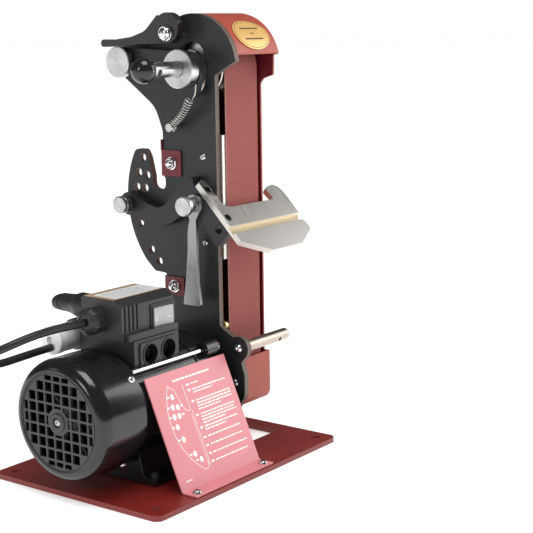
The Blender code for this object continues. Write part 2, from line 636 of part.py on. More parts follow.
# ---------------------------------------------------------------- tool rest
def rest_point(along, above, fillet=0.0):
    """A point beside the tool rest's pivot: along the slope, and above it."""
    a = math.radians(REST_TILT)
    return (REST_PIVOT[0] - along * math.cos(a) - above * math.sin(a),
            REST_PIVOT[1] - along * math.sin(a) + above * math.cos(a), fillet)


def make_rest_arm(rest_joint, clamp_joint, pin_joint):
    """S-shaped arm with its index plunger, clamp bolt and locking handle."""
    pin = polar(REST_PIVOT, INDEX_RADIUS, INDEX_PIN)
    under = REST_RISE - REST_THICK - GAP
    tail = arc(pin, 11.8, -120, 98, 12)
    top = rounded([tail[-1], (66, 254.2, 6), (54, 249.4, 8), (41, 245.6, 9), (31, 249, 9), (20, 259.8, 12),
                   (8.5, 271.4, 12), (-2.5, 279.8, 4), (-6.8, 277.6, 2),
                   rest_point(-REST_BACK - 4.2, under), rest_point(46.8, under), rest_point(46.8, under - 22, 3),
                   (-20.5, 229.5, 6), (-13, 237.5, 8), (9, 240.6, 10), (24, 231, 14), (38, 226.4, 14),
                   (54, 227.6, 16), tail[0]], closed=False)[1:-1]
    post = rest_point(35.4, under - 7.5)[:2]
    arm = slab("tool_rest_arm", [tail + top, circle(REST_PIVOT, 5.3), circle(pin, 5.2, 16), circle(post, 4.4, 14)],
               *REST_ARM_X, "plate_black")
    weld(arm, slab_mesh("spacer", [circle(REST_PIVOT, 9.0, 20), circle(REST_PIVOT, 5.3)],
                        REST_ARM_X[1] - 1, PLATE_X[0] - GAP))
    attach(arm, rest_joint)
    body = [(REST_ARM_X[0], 4.2), (REST_ARM_X[0], 4.9), (REST_ARM_X[1], 4.9), (REST_ARM_X[1], 4.2)]
    attach(turned("plunger_body", body, "gloss_black", pin, 14), rest_joint)
    plunger = [(19.5, 0), (19.5, 7.8), (20.3, 8.8), (22.4, 8.8), (22.9, 8.0), (23.8, 8.0), (24.3, 8.8), (30.6, 8.8),
               (31.3, 8.0), (31.3, 3.9), (45.4, 3.9), (PLATE_X[0] - GAP, 3.3), (PLATE_X[0] - GAP, 0)]
    attach(turned("index_plunger", plunger, "brushed", pin, 18), pin_joint)
    knob = [(14, 0), (14, 8.8), (15, 9.8), (19, 9.8), (20, 9.0), (20, 7.3), (30.1, 7.3), (30.1, 4.9),
            (PLATE_X[1], 4.9), (PLATE_X[1], 0)]
    attach(turned("pivot_knob", knob, "brushed", REST_PIVOT, 20), clamp_joint)
    y, z = REST_PIVOT
    shaft = rounded([(y, z), (y + 8.0, z - 24, 60), (y + 8.4, z - 46, 60), (y + 12.0, z - 79, 60),
                     (y + 15.6, z - 101, 2), (y - 6.4, z - 101, 2), (y - 3.6, z - 77, 60), (y - 2.6, z - 46, 60),
                     (y - 3.2, z - 18, 30), (y, z)], closed=False)
    hub = arc(REST_PIVOT, 10.2, 222, -40, 22)
    handle = slab("locking_handle", [shaft[1:-1] + hub, circle(REST_PIVOT, 5.3)], 30.4, 34.4, "cast")
    attach(handle, clamp_joint)


def make_tool_rest(rest_joint):
    """Slotted tool rest with its cross groove and two screws."""
    left, wing, right = 34.6, 46.4, 149.0
    outline = rounded([(left, 0, 1), (42, -3.5, 3), (wing, 0.5, 2), (wing, 30.3, 1), (56, 34, 2), (126.5, 34, 3),
                       (124.4, 21.4, 2), (129.2, 18.1, 2), (139.4, 16.5, 4), (146.3, 21.1, 4), (right, 30, 4),
                       (right, 57), (144, 62.3, 2), (right, 68), (right, 77, 1), (120.5, 91.4, 3), (70, 91.4, 3),
                       (left, 74.4, 1)], 3)
    outline = [(x, REST_BACK - s) for x, s in outline]
    mesh = slab_mesh("tool_rest", [outline], REST_RISE - REST_THICK, REST_RISE, XY)
    turn = Matrix.Translation((0, *REST_PIVOT)) @ Matrix.Rotation(math.radians(REST_TILT), 4, "X")
    mesh.transform(turn)
    rest = link("tool_rest", mesh, "brushed")
    groove = box_mesh("groove", (left - 5, REST_BACK - 64, REST_RISE - 3), (right + 8, REST_BACK - 56, REST_RISE + 5))
    groove.transform(turn)
    cut(rest, groove)
    middle = 40.9
    for number, along in ((1, 9.5 - REST_BACK), (2, 45 - REST_BACK)):
        hole = rod_mesh("hole", (middle, -along, 10), (middle, -along, 30), 4.3, 16)
        hole.transform(turn)
        cut(rest, hole)
        head = turned_mesh("head", [(0, 0), (0, 4.0), (REST_THICK - 0.4, 4.0), (REST_THICK - 0.4, 0)], 16)
        head.transform(turn @ Matrix.Translation((middle, -along, REST_RISE - 0.3))
                       @ Matrix.Rotation(math.radians(90), 4, "Y"))
        attach(link("tool_rest_screw_%d" % number, head, "gloss_black"), rest_joint)
    attach(rest, rest_joint)


def make_tool_post():
    """Round jig post on the side plate's lobe, and the screw that holds it."""
    left = PLATE_X[1] + GAP
    profile = [(left, 3.2), (left, 6.0), (POST_END - 1, 6.0), (POST_END, 5.0), (POST_END, 0), (left + 9, 0),
               (left + 9, 3.2)]
    post = turned("tool_post", profile, "brushed", POST, 16)
    cut(post, rod_mesh("cross_hole", (109.5, -9, -4), (109.5, 9, 4), 2.1, 12))
    screw("tool_post_screw", "steel", POST, PLATE_X[0] - 0.1, 4.6, 2.8, 3.0, left + 8)


def make_info_plate():
    """Bent settings plate leaning on the motor, with two button screws."""
    foot_y, foot_z = INFO_FOOT
    path = rounded([(-103.0, foot_z), (foot_y, foot_z, 4), INFO_TOP], 4, False)
    bend = ribbon(path, 1.5)
    plate = slab("info_plate", [bend], *INFO_X, "info_red")
    for number, x in ((1, -76.0), (2, 24.0)):
        cut(plate, rod_mesh("hole", (x, -96, 0), (x, -96, 9), 2.4, 12))
        head = turned_mesh("head", [(-1.6, 0), (-1.6, 2.1), (0.1, 2.1), (0.1, 4.6), (1.2, 4.2), (2.4, 2.4),
                                    (2.7, 0)], 12)
        head.transform(Matrix.Translation((x, -96, foot_z + 1.5)) @ Matrix.Rotation(math.radians(-90), 4, "Y"))
        link("info_plate_screw_%d" % number, head, "steel")


# ---------------------------------------------------------------- motor
def make_motor(drive_joint):
    """Motor body, stator, rotor shaft, bearings, end shields, fan, fan cover and foot."""
    y, z = DRIVE_AXIS
    slab("motor_housing", [circle(DRIVE_AXIS, BODY_RADIUS, 44), circle(DRIVE_AXIS, 46.0, 30)], *BODY_X, "gloss_black")
    stator = [(-84, 30), (-84, 42), (-74, 42), (-74, 45.6), (-20, 45.6), (-20, 42), (-10, 42), (-10, 30),
              (-20, 30), (-20, 28), (-74, 28), (-74, 30)]
    turned("stator", stator, "copper", DRIVE_AXIS, 22)
    rotor = [(-138, 0), (-138, 5.5), (-106, 5.5), (-106, 7.4), (-86, 7.4), (-86, 10), (-74, 10), (-74, 27.4),
             (-20, 27.4), (-20, 10), (-8, 10), (-8, 7.4), (20, 7.4), (20, 6.9), (108, 6.9), (109, 6), (109, 0)]
    attach(turned("rotor_shaft", rotor, "steel", DRIVE_AXIS, 18), drive_joint)
    for name, start in (("bearing_rear", -98.0), ("bearing_front", 2.0)):
        ring = [(start, 7.7), (start, 17.2), (start + 11, 17.2), (start + 11, 7.7)]
        turned(name, ring, "steel", DRIVE_AXIS, 18)
    rear = [(-103, 9), (-103, 55.6), (-95.2, 55.6), (-95.2, 45.5), (-90, 45.5), (-90, 42.5), (-97, 42.5),
            (-97, 20), (-86.6, 20), (-86.6, 17.5), (-98.5, 17.5), (-98.5, 9)]
    turned("end_shield_rear", rear, "gloss_black", DRIVE_AXIS, 28)
    make_front_shield()
    make_fan(drive_joint)
    make_fan_cover()
    make_foot()


def make_front_shield():
    """Drive-end shield with four ears and the boss that bolts to the side plate."""
    end = SHIELD_END
    profile = [(1.4, 17.5), (1.4, 20), (-2, 20), (-2, 43), (-9, 43), (-9, 45.5), (-4, 45.5), (-4, 53), (end - 4, 53),
               (end, 49), (end, 36), (PLATE_X[0] - GAP, 34), (PLATE_X[0] - GAP, 9), (13.5, 9), (13.5, 17.5)]
    shield = turned("end_shield_front", profile, "gloss_black", DRIVE_AXIS, 28)
    for angle in (45.5, 134.5, 225.5, 314.5):
        hole = polar((0, 0), TIE_ROD[0], angle)
        weld(shield, slab_mesh("ear", [circle(hole, 7.5, 16)], 8.0, end - 0.6))
        cut(shield, rod_mesh("ear_hole", (0, *hole), (end + 5, *hole), 3.0, 12))
    rod = [(-93.8, 0), (-93.8, 2.5), (end + 0.3, 2.5), (end + 0.3, 5.2), (end + 5, 5.2), (end + 6, 4.4), (end + 6, 0)]
    turned("tie_rod", rod, "chrome", polar(DRIVE_AXIS, *TIE_ROD), 14)


def make_fan(drive_joint):
    """Radial fan: hub, back plate and straight blades as one moulding."""
    hub = [(-133, 5.8), (-133, 11), (-131, 12), (-109.5, 12), (-109.5, 46), (-107, 46), (-107, 5.8)]
    fan = turned("cooling_fan", hub, "box_grey", DRIVE_AXIS, 21)
    for i in range(7):
        blade = box_mesh("blade", (-132, -1.1, 11), (-109, 1.1, 45.6))
        blade.transform(Matrix.Rotation(math.tau * i / 7, 4, "X"))
        weld(fan, blade)
    attach(fan, drive_joint)


def make_fan_cover():
    """Domed cover over the fan, with a grille of square holes."""
    front, back = FAN_COVER_X
    radius = FAN_COVER_RADIUS
    outer = [(back, radius)] + [(front + 14 - 14 * math.sin(a), 47 + (radius - 47) * math.cos(a))
                                for a in [math.radians(15 * i) for i in range(7)]]
    inner = [(front + 14 - 12.4 * math.sin(a), 47 + (radius - 48.6) * math.cos(a))
             for a in [math.radians(60 - 15 * i) for i in range(5)]] + [(back, radius - 1.6)]
    step = [(GRILLE_X, 46.7), (GRILLE_X, 0.0), (GRILLE_X + 2, 0.0), (GRILLE_X + 2, 50.6)]
    cover = turned("fan_cover", outer + step + inner, "gloss_black", DRIVE_AXIS, 36)
    pitch, hole, reach = 10.6, 8.6, 42.6
    grid = bmesh.new()
    for i in range(-4, 5):
        for j in range(-4, 5):
            if math.hypot(i, j) > 4.15 or (i == 0 and j == 0):
                continue
            low = [max(k * pitch - hole / 2, -reach) for k in (i, j)]
            high = [min(k * pitch + hole / 2, reach) for k in (i, j)]
            middle = [(low[k] + high[k]) / 2 for k in (0, 1)]
            bmesh.ops.create_cube(grid, size=1.0, matrix=Matrix.Translation((GRILLE_X + 1, *middle))
                                  @ Matrix.Diagonal((8, high[0] - low[0], high[1] - low[1], 1)))
    mesh = bpy.data.meshes.new("grid")
    grid.to_mesh(mesh)
    grid.free()
    cut(cover, mesh)


def make_foot():
    """Cast saddle foot under the motor."""
    y, z = DRIVE_AXIS
    low = BASE[2] + GAP
    saddle = arc(DRIVE_AXIS, BODY_RADIUS + GAP, 228, 312, 14)
    outline = [(y - 56, low), (y - 56, low + 6), (y - 42, low + 6, 4), (y - 37, 31)] + saddle
    outline = rounded(outline[:4], 3, False) + saddle + rounded(
        [(y + 37, 31), (y + 42, low + 6, 4), (y + 56, low + 6), (y + 56, low)], 3, False)
    slab("motor_foot", [outline], -84.0, -20.0, "gloss_black")


# ---------------------------------------------------------------- electrics
def make_boxes(rocker_joint):
    """Terminal box saddle, control box with its rocker, gland, capacitor and mains connector."""
    y, z = DRIVE_AXIS
    under = arc(DRIVE_AXIS, BODY_RADIUS + GAP, 128.5, 51.5, 14)
    top = CONTROL_Z[0] - GAP
    terminal = slab("terminal_box", [[(-32.0, top), (-32.0, 116.4)] + under + [(37.0, 116.4), (37.0, top)]],
                    *TERMINAL_X, "box_grey")
    for x in (-64.0, -38.6):
        cut(terminal, rod_mesh("entry", (x, -40, 126.6), (x, -27, 126.6), 9.3, 20))
    box = link("control_box", box_mesh("control_box", (CONTROL_X[0], CONTROL_Y[0], CONTROL_Z[0]),
                                       (CONTROL_X[1], CONTROL_Y[1], CONTROL_Z[1]), 1.6), "box_grey")
    cx, cy, cz = ROCKER
    cut(box, box_mesh("window", (cx - 13.2, cy - 5, cz - 11.3), (cx + 13.2, cy + 12, cz + 11.3)))
    rocker = slab_mesh("rocker", [[(-12.4, -0.8), (0, -0.6), (12.4, -3.6), (12.0, 4.6), (0, 7.4), (-12.0, 4.6)]],
                       -10.9, 10.9, XY)
    rocker.transform(Matrix.Translation((cx, cy, cz)))
    switch = link("rocker_switch", rocker, "switch_grey")
    attach(switch, rocker_joint)
    face = CONTROL_X[0] - GAP
    gland = [(face, 3.9), (face, 12.4), (face - 5, 12.4), (face - 5.3, 13.0), (face - 13, 13.0), (face - 16, 10.5),
             (face - 18, 7.0), (face - 18, 3.9)]
    turned("cable_gland", gland, "box_grey", GLAND, 18)
    make_capacitor()
    make_connector()


def make_capacitor():
    """Run capacitor in its white can, lying along the top rear of the motor."""
    y, z, r = CAPACITOR
    profile = [(-103, 0), (-103, r - 2), (-101.5, r), (-94.6, r), (-94.3, r - 0.6), (-59, r - 0.6), (-57, r - 2.6),
               (-57, 0)]
    turned("capacitor", profile, "white", (y, z), 24)
    inside = r - 0.6 + GAP
    band = arc((y, z), inside + 1.8, 168, -168, 24)
    strap = [(36.0, band[-1][1]), (36.0, band[0][1])]
    weld(bpy.data.objects["terminal_box"],
         slab_mesh("clip", [band + strap, circle((y, z), inside, 24)], -70.0, -60.0))


def boot_bend(angle):
    """A point on the strain relief's bend, from along Y towards X and down."""
    x, y, z, r = BOOT_BEND
    a = math.radians(angle)
    return Vector((x + r * (1 - math.cos(a)), y + r * math.sin(a), z - 7.0 * (angle / 62.0) ** 1.6))


def make_connector():
    """Moulded appliance connector and its ribbed, tapering strain relief, which bends to the cord."""
    x, y, z, _ = BOOT_BEND
    start = CONTROL_Y[1] + GAP
    chain = [Vector((x, start + d, z - 0.3)) for d in (0, 1.5, 17, 20.5, 28)]
    sizes = [11.0, 12.2, 12.2, 10.4, 9.4]
    ribs = 6
    for i in range(ribs):
        big = 8.8 - 0.62 * i
        for share, size in ((0.0, big), (0.58, big), (0.66, big - 1.5), (0.92, big - 1.6)):
            chain.append(boot_bend(62.0 * (i + share) / ribs))
            sizes.append(size)
    chain.append(boot_bend(62.0))
    sizes.append(4.2)
    link("mains_connector", tube_mesh("mains_connector", chain, 1.0, 4, sizes), "cord_black")


def make_cords():
    """Motor lead from gland to capacitor, and the mains cord with its coil and plug."""
    cord("motor_lead", even(smooth_path(lead_points(), 8), 16.0), LEAD_RADIUS, "cord_black")
    cord("mains_cord", even(smooth_path(mains_points(), 8), 16.0), CORD_RADIUS, "cord_black")
    x, y, ring = COIL
    wide, high = BUNDLE
    coil = bmesh.new()
    profile = [(ring + wide * math.cos(a), high + GAP + high * math.sin(a))
               for a in [math.tau * i / 10 for i in range(10)]]
    verts = [coil.verts.new((r, 0, h)) for r, h in profile]
    edges = [coil.edges.new((verts[i], verts[(i + 1) % 10])) for i in range(10)]
    bmesh.ops.spin(coil, geom=verts + edges, cent=(0, 0, 0), axis=(0, 0, 1), angle=math.tau, steps=28,
                   use_merge=True)
    link("mains_cord_coil", mesh_from(coil, "mains_cord_coil", 0.005), "cord_black", (x, y, 0))
    make_plug()


def lead_points():
    """Hand-placed route of the motor lead: out of the gland, round, and back to the capacitor."""
    y, z = GLAND
    cy, cz, _ = CAPACITOR
    return [(-110.7, y, z), (-124.0, y + 0.3, z + 0.3), (-142.0, y + 1.2, z + 0.6), (-160.0, y + 3, z - 0.2),
            (-178.0, y + 6, z - 2.8), (-194.0, y + 12, z - 7.5), (-205.0, y + 22, z - 13.0), (-208.0, y + 32, z - 18.5),
            (-204.0, y + 41, z - 23.0), (-190.0, y + 48, z - 27.0), (-170.0, cy - 2.5, cz - 7.6),
            (-145.0, cy - 2.0, cz - 7.4), (-122.0, cy - 2.0, cz - 6.5), (-103.3, cy - 2.0, cz - 6.0)]


def mains_points():
    """Hand-placed route of the mains cord: out of the boot, down behind the motor, to the coil."""
    tip = boot_bend(62.0)
    ahead = (tip - boot_bend(59.0)).normalized()
    first, second = tip + ahead * 0.5, tip + ahead * 13.0
    r = CORD_RADIUS + GAP
    x, y, ring = COIL
    reach = ring + BUNDLE[0] + CORD_RADIUS + 0.8
    return [tuple(first), tuple(second), (-31.0, 95.0, 144.5), (-16.0, 96.5, 133.5), (-4.0, 98.0, 118.0),
            (4.0, 99.5, 99.0), (9.0, 101.5, 78.0), (13.0, 106.0, 55.0), (20.0, 113.0, 33.0), (31.0, 119.0, 16.0),
            (46.0, 121.5, 6.5), (62.0, 119.5, r + 0.4), (78.0, 116.2, r),
            (x + reach * math.cos(math.radians(-100)), y + reach * math.sin(math.radians(-100)), r)]


def make_plug():
    """Two-pin mains plug with a long tapered tail, lying beside the coil on its rim and tail."""
    x, y, z, heading, tilt = PLUG_TAIL
    body = [(0, 0), (0, 4.2), (12, 5.0), (38, 8.4), (46, 16.6), (60, 18.0), (69, 18.0), (69, 16.2), (70, 0)]
    plug = turned("mains_plug", body, "cord_black", (0, 0), 16)
    for side in (-9.5, 9.5):
        weld(plug, rod_mesh("pin", (68, side, 0), (88, side, 0), 2.4, 10))
    plug.location = Vector((x, y, z)) * MM
    plug.rotation_euler = (0.0, math.radians(tilt), math.radians(heading))


# ---------------------------------------------------------------- whole object
def main():
    """Clear the scene, make the joint empties and build every piece on them."""
    global PARTS
    for obj in list(bpy.data.objects):
        bpy.data.objects.remove(obj, do_unlink=True)
    PARTS = bpy.data.collections.new("belt_grinder")
    bpy.context.scene.collection.children.link(PARTS)
    pin = polar(REST_PIVOT, INDEX_RADIUS, INDEX_PIN)
    drive_joint = joint_empty("drive_joint", (0, *DRIVE_AXIS))
    arm_joint = joint_empty("arm_joint", (37, *ARM_PIVOT))
    knob_joint = joint_empty("knob_joint", (27, *ARM_PIVOT))
    shaft_joint = joint_empty("shaft_joint", (0, *TOP_AXIS), arm_joint)
    wheel_joint = joint_empty("wheel_joint", (83, *TOP_AXIS), arm_joint)
    lever_joint = joint_empty("lever_joint", (32, *LEVER_PIVOT))
    rest_joint = joint_empty("rest_joint", (41, *REST_PIVOT))
    clamp_joint = joint_empty("clamp_joint", (33, *REST_PIVOT))
    pin_joint = joint_empty("pin_joint", (30, *pin), rest_joint)
    rocker_joint = joint_empty("rocker_joint", ROCKER)
    make_base()
    make_side_plate()
    make_back_cover()
    make_lower_cover()
    make_badge()
    make_belt()
    make_wheels(drive_joint, wheel_joint)
    make_head(arm_joint, shaft_joint, lever_joint, knob_joint)
    make_rest_arm(rest_joint, clamp_joint, pin_joint)
    make_tool_rest(rest_joint)
    make_tool_post()
    make_info_plate()
    make_motor(drive_joint)
    make_boxes(rocker_joint)
    make_cords()


main()
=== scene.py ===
"""Belt grinder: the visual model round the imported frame.

Lengths are millimetres unless a name says otherwise; MM turns them into metres.
X runs along the motor shaft towards the belt, Y to the back, Z up.
"""
import random
from math import acos, asin, atan2, cos, degrees, hypot, pi, radians, sin, tan, tau

import bmesh
import bpy
from mathutils import Matrix, Vector


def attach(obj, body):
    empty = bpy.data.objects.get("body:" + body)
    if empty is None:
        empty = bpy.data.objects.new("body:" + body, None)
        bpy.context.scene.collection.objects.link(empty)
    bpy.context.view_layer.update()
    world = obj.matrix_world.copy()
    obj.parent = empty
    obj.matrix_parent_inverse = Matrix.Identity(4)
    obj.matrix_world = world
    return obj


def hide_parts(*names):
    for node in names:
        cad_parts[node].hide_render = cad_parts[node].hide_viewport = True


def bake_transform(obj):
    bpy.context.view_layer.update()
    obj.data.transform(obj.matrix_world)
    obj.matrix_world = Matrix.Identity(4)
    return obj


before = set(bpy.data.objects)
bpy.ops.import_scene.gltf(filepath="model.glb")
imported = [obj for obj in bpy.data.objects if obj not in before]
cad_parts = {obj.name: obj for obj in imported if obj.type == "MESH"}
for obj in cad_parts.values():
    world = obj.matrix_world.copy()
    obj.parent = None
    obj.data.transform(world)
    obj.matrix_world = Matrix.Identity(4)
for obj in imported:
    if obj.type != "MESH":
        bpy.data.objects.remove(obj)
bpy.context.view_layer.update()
MM = 0.001
GAP = 0.3
SCENE = bpy.context.scene

# ---- sizes shared with the part
BASE = (280, 210, 5)
BASE_HOLE = (125, 89, 4.5)
BASE_SLOT = (62, 122, -42, 38)
PLATE_X = (47, 53)
PLATE_NEAR = PLATE_X[0] - GAP
PLATE_FAR = PLATE_X[1] + GAP
PLATE_FRONT = -27
PLATE_REAR = 41
BELT_WIDTH = 50
BELT_THICK = 1.2
BELT_X = 58.4
TOP_AXIS = (-1, 383.5)
TOP_RADIUS = 28.5
DRIVE_AXIS = (3.2, 75.5)
DRIVE_RADIUS = 32.7
HEAD_RADIUS = 52
COVER_RIGHT = 118.5
SHEET = 2
COVER_BACK = 43.3
BADGE_ANGLE = 142
TAB_UPPER = (277, 303)
TAB_LOWER = (156, 175)
TAB_NUT_Y = 28.8
ARM_PIVOT = (77, 389)
ARM_X = (34.3, 40)
LEVER_PIVOT = (16, 417)
LEVER_X = (28, 36.7)
CAM_OFFSET = 5
SPRING_ANCHOR = (20.5, 326.6)
REST_PIVOT = (-10, 253)
REST_TILT = 46
REST_RISE = 17.9
REST_BACK = 12.9
REST_THICK = 6
REST_ARM_X = (34.7, 44.9)
INDEX_RADIUS = 88.6
INDEX_HOLE = 4.4
INDEX_ANGLES = (27.3, 16.6, 6.8, -3.6, -17.2, -36.8, -46.6)
INNER_INDEX = ((77.5, 17.4), (77.5, 7.2))
INDEX_PIN = -3.6
QUADRANT_RADIUS = 100.8
PIVOT_HOLE = 5.3
TAB_HOLE = 3.3
COVER_SCREW = (-45, 74.4)
COVER_SCREW_HOLE = 2.8
GRUB_ANGLES = (130, 222)
HANDLE_X = (30.4, 34.4)
KNURL = (24, 30.7, 8.8)
ENTRY_X = (-64, -38.6)
ENTRY_Z = 126.6
ENTRY_RADIUS = 9.3
ROCKER_HALF = (13.2, 11.3)
FLOOR_DROP = 0.0004
POST = (-50, 110.6)
POST_END = 126
FAN_COVER_RADIUS = 57.6
FAN_COVER_X = (-151.2, -94)
GRILLE_X = -150
BODY_RADIUS = 52
BODY_X = (-94.7, -4.3)
SHIELD_END = 25
TIE_ROD = (56, 134.5)
TERMINAL_X = (-84, -22)
CONTROL_X = (-92, -20)
CONTROL_Y = (-25, 25)
CONTROL_Z = (141.7, 179.5)
ROCKER = (-36.4, -25, 155.2)
GLAND = (5.5, 159.5)
CAPACITOR = (58, 134.3, 14)
LEAD_RADIUS = 3.7
CORD_RADIUS = 3.5
COIL = (102, 171, 42)
BUNDLE = (11.3, 7.6)
BOOT_BEND = (-75, 62, 166.3, 28)
PLUG_TAIL = (151.8, 142.2, 4.8, 40, -14.4)
INFO_TOP = (-41.8, 107.2)
INFO_FOOT = (-85, 5.3)
INFO_X = (-84.5, 32)


# ---- camera
def make_camera():
    """The photograph's viewing angle, lens and framing."""
    azimuth, elevation, roll = radians(-54.356), radians(12.513), radians(-0.457)
    camera = bpy.data.objects.new("camera", bpy.data.cameras.new("camera"))
    SCENE.collection.objects.link(camera)
    turn = Matrix.Rotation(azimuth, 4, "Z") @ Matrix.Rotation(pi / 2 - elevation, 4, "X")
    turn = turn @ Matrix.Rotation(roll, 4, "Z")
    camera.matrix_world = Matrix.Translation((-0.94768, -0.83356, 0.42811)) @ turn
    camera.data.sensor_width = 36
    camera.data.lens = 88.74
    camera.data.shift_x = -0.05454
    camera.data.shift_y = 0.08516
    camera.data.clip_start = 0.01
    camera.data.clip_end = 100
    SCENE.camera = camera


make_camera()


# ---- outlines
def arc(centre, radius, start, stop, steps=24):
    """Points on an arc, with angles in degrees from the first axis towards the second."""
    angles = [radians(start + (stop - start) * i / steps) for i in range(steps + 1)]
    return [(centre[0] + radius * cos(a), centre[1] + radius * sin(a)) for a in angles]


def polar(centre, radius, angle):
    """One point at an angle and distance from a centre."""
    a = radians(angle)
    return (centre[0] + radius * cos(a), centre[1] + radius * sin(a))


def rounded(corners, steps=8, closed=True):
    """An outline whose corners, given as (a, b) or (a, b, radius), are filleted."""
    points = []
    count = len(corners)
    for i, corner in enumerate(corners):
        here = Vector(corner[:2])
        radius = corner[2] if len(corner) > 2 else 0
        if radius == 0 or (not closed and i in (0, count - 1)):
            points.append(tuple(here))
            continue
        before = Vector(corners[i - 1][:2]) - here
        after = Vector(corners[(i + 1) % count][:2]) - here
        half = before.angle(after) / 2
        reach = min(radius / tan(half), before.length * 0.499, after.length * 0.499)
        radius = reach * tan(half)
        middle = here + (before.normalized() + after.normalized()).normalized() * (radius / sin(half))
        first = here + before.normalized() * reach - middle
        sweep = first.angle_signed(here + after.normalized() * reach - middle)
        for k in range(steps + 1):
            points.append(tuple(middle + Matrix.Rotation(-sweep * k / steps, 2) @ first))
    return points


def turn_angles(steps):
    """Even angles round a full turn, in radians."""
    return [tau * i / steps for i in range(steps)]


def circle(centre, radius, steps=40):
    """A round outline."""
    return arc(centre, radius, 0, 360, steps)[:-1]


def between(corners, steps=8):
    """The filleted corners of an open outline, without its two ends."""
    return rounded(corners, steps, closed=False)[1:-1]


def rectangle(low, high, radius=0, steps=8):
    """A rectangle between two corners, its corners filleted."""
    return rounded([(*low, radius), (high[0], low[1], radius), (*high, radius), (low[0], high[1], radius)], steps)


def hexagon(centre, across):
    """A hexagon by its width across flats."""
    return arc(centre, across / 2 / cos(radians(30)), 0, 360, 6)[:-1]


def ribbon(path, thick):
    """A closed outline of a bent sheet, thick on the left of an open path."""
    left = []
    for i, point in enumerate(path):
        here = Vector(point)
        ahead = Vector(path[min(i + 1, len(path) - 1)]) - here
        behind = here - Vector(path[max(i - 1, 0)])
        along = (ahead.normalized() + behind.normalized()).normalized()
        bend = (ahead if ahead.length else behind).normalized()
        side = Vector((-along.y, along.x))
        left.append(tuple(here + side * thick / max(side.dot(Vector((-bend.y, bend.x))), 0.3)))
    return list(path) + left[::-1]


def belt_outline(offset):
    """The belt's path round both wheels, moved outwards by an offset."""
    top, drive = Vector(TOP_AXIS), Vector(DRIVE_AXIS)
    line = top - drive
    lean = asin((DRIVE_RADIUS - TOP_RADIUS) / line.length)
    back = degrees(atan2(line.y, line.x) - pi / 2 + lean)
    return (arc(TOP_AXIS, TOP_RADIUS + offset, back, 180, 60)
            + arc(DRIVE_AXIS, DRIVE_RADIUS + offset, 180, 360 + back, 64))


# ---- paths
def even(chain, spacing):
    """The same path with points an even distance apart."""
    lengths = [0]
    for a, b in zip(chain, chain[1:]):
        lengths.append(lengths[-1] + (b - a).length)
    count = max(2, round(lengths[-1] / spacing))
    result, k = [], 0
    for i in range(count + 1):
        want = lengths[-1] * i / count
        while k < len(chain) - 2 and lengths[k + 1] < want:
            k += 1
        share = (want - lengths[k]) / (lengths[k + 1] - lengths[k])
        result.append(chain[k].lerp(chain[k + 1], min(max(share, 0), 1)))
    return result


def smooth_path(points, per=8):
    """A Catmull-Rom chain through given points."""
    pts = [Vector(p) for p in points]
    pts = [pts[0] * 2 - pts[1]] + pts + [pts[-1] * 2 - pts[-2]]
    chain = []
    for i in range(1, len(pts) - 2):
        a, b, c, d = pts[i - 1:i + 3]
        for k in range(per):
            t = k / per
            chain.append(0.5 * (2 * b + (c - a) * t + (2 * a - 5 * b + 4 * c - d) * t * t
                                + (3 * b - a - 3 * c + d) * t ** 3))
    chain.append(pts[-2])
    return chain


def ease(value, start, stop, low, high):
    """A smooth step from low to high as value goes from start to stop."""
    share = min(max((value - start) / (stop - start), 0), 1)
    return low + (high - low) * share * share * (3 - 2 * share)


# ---- finishes
FINISHES = {}


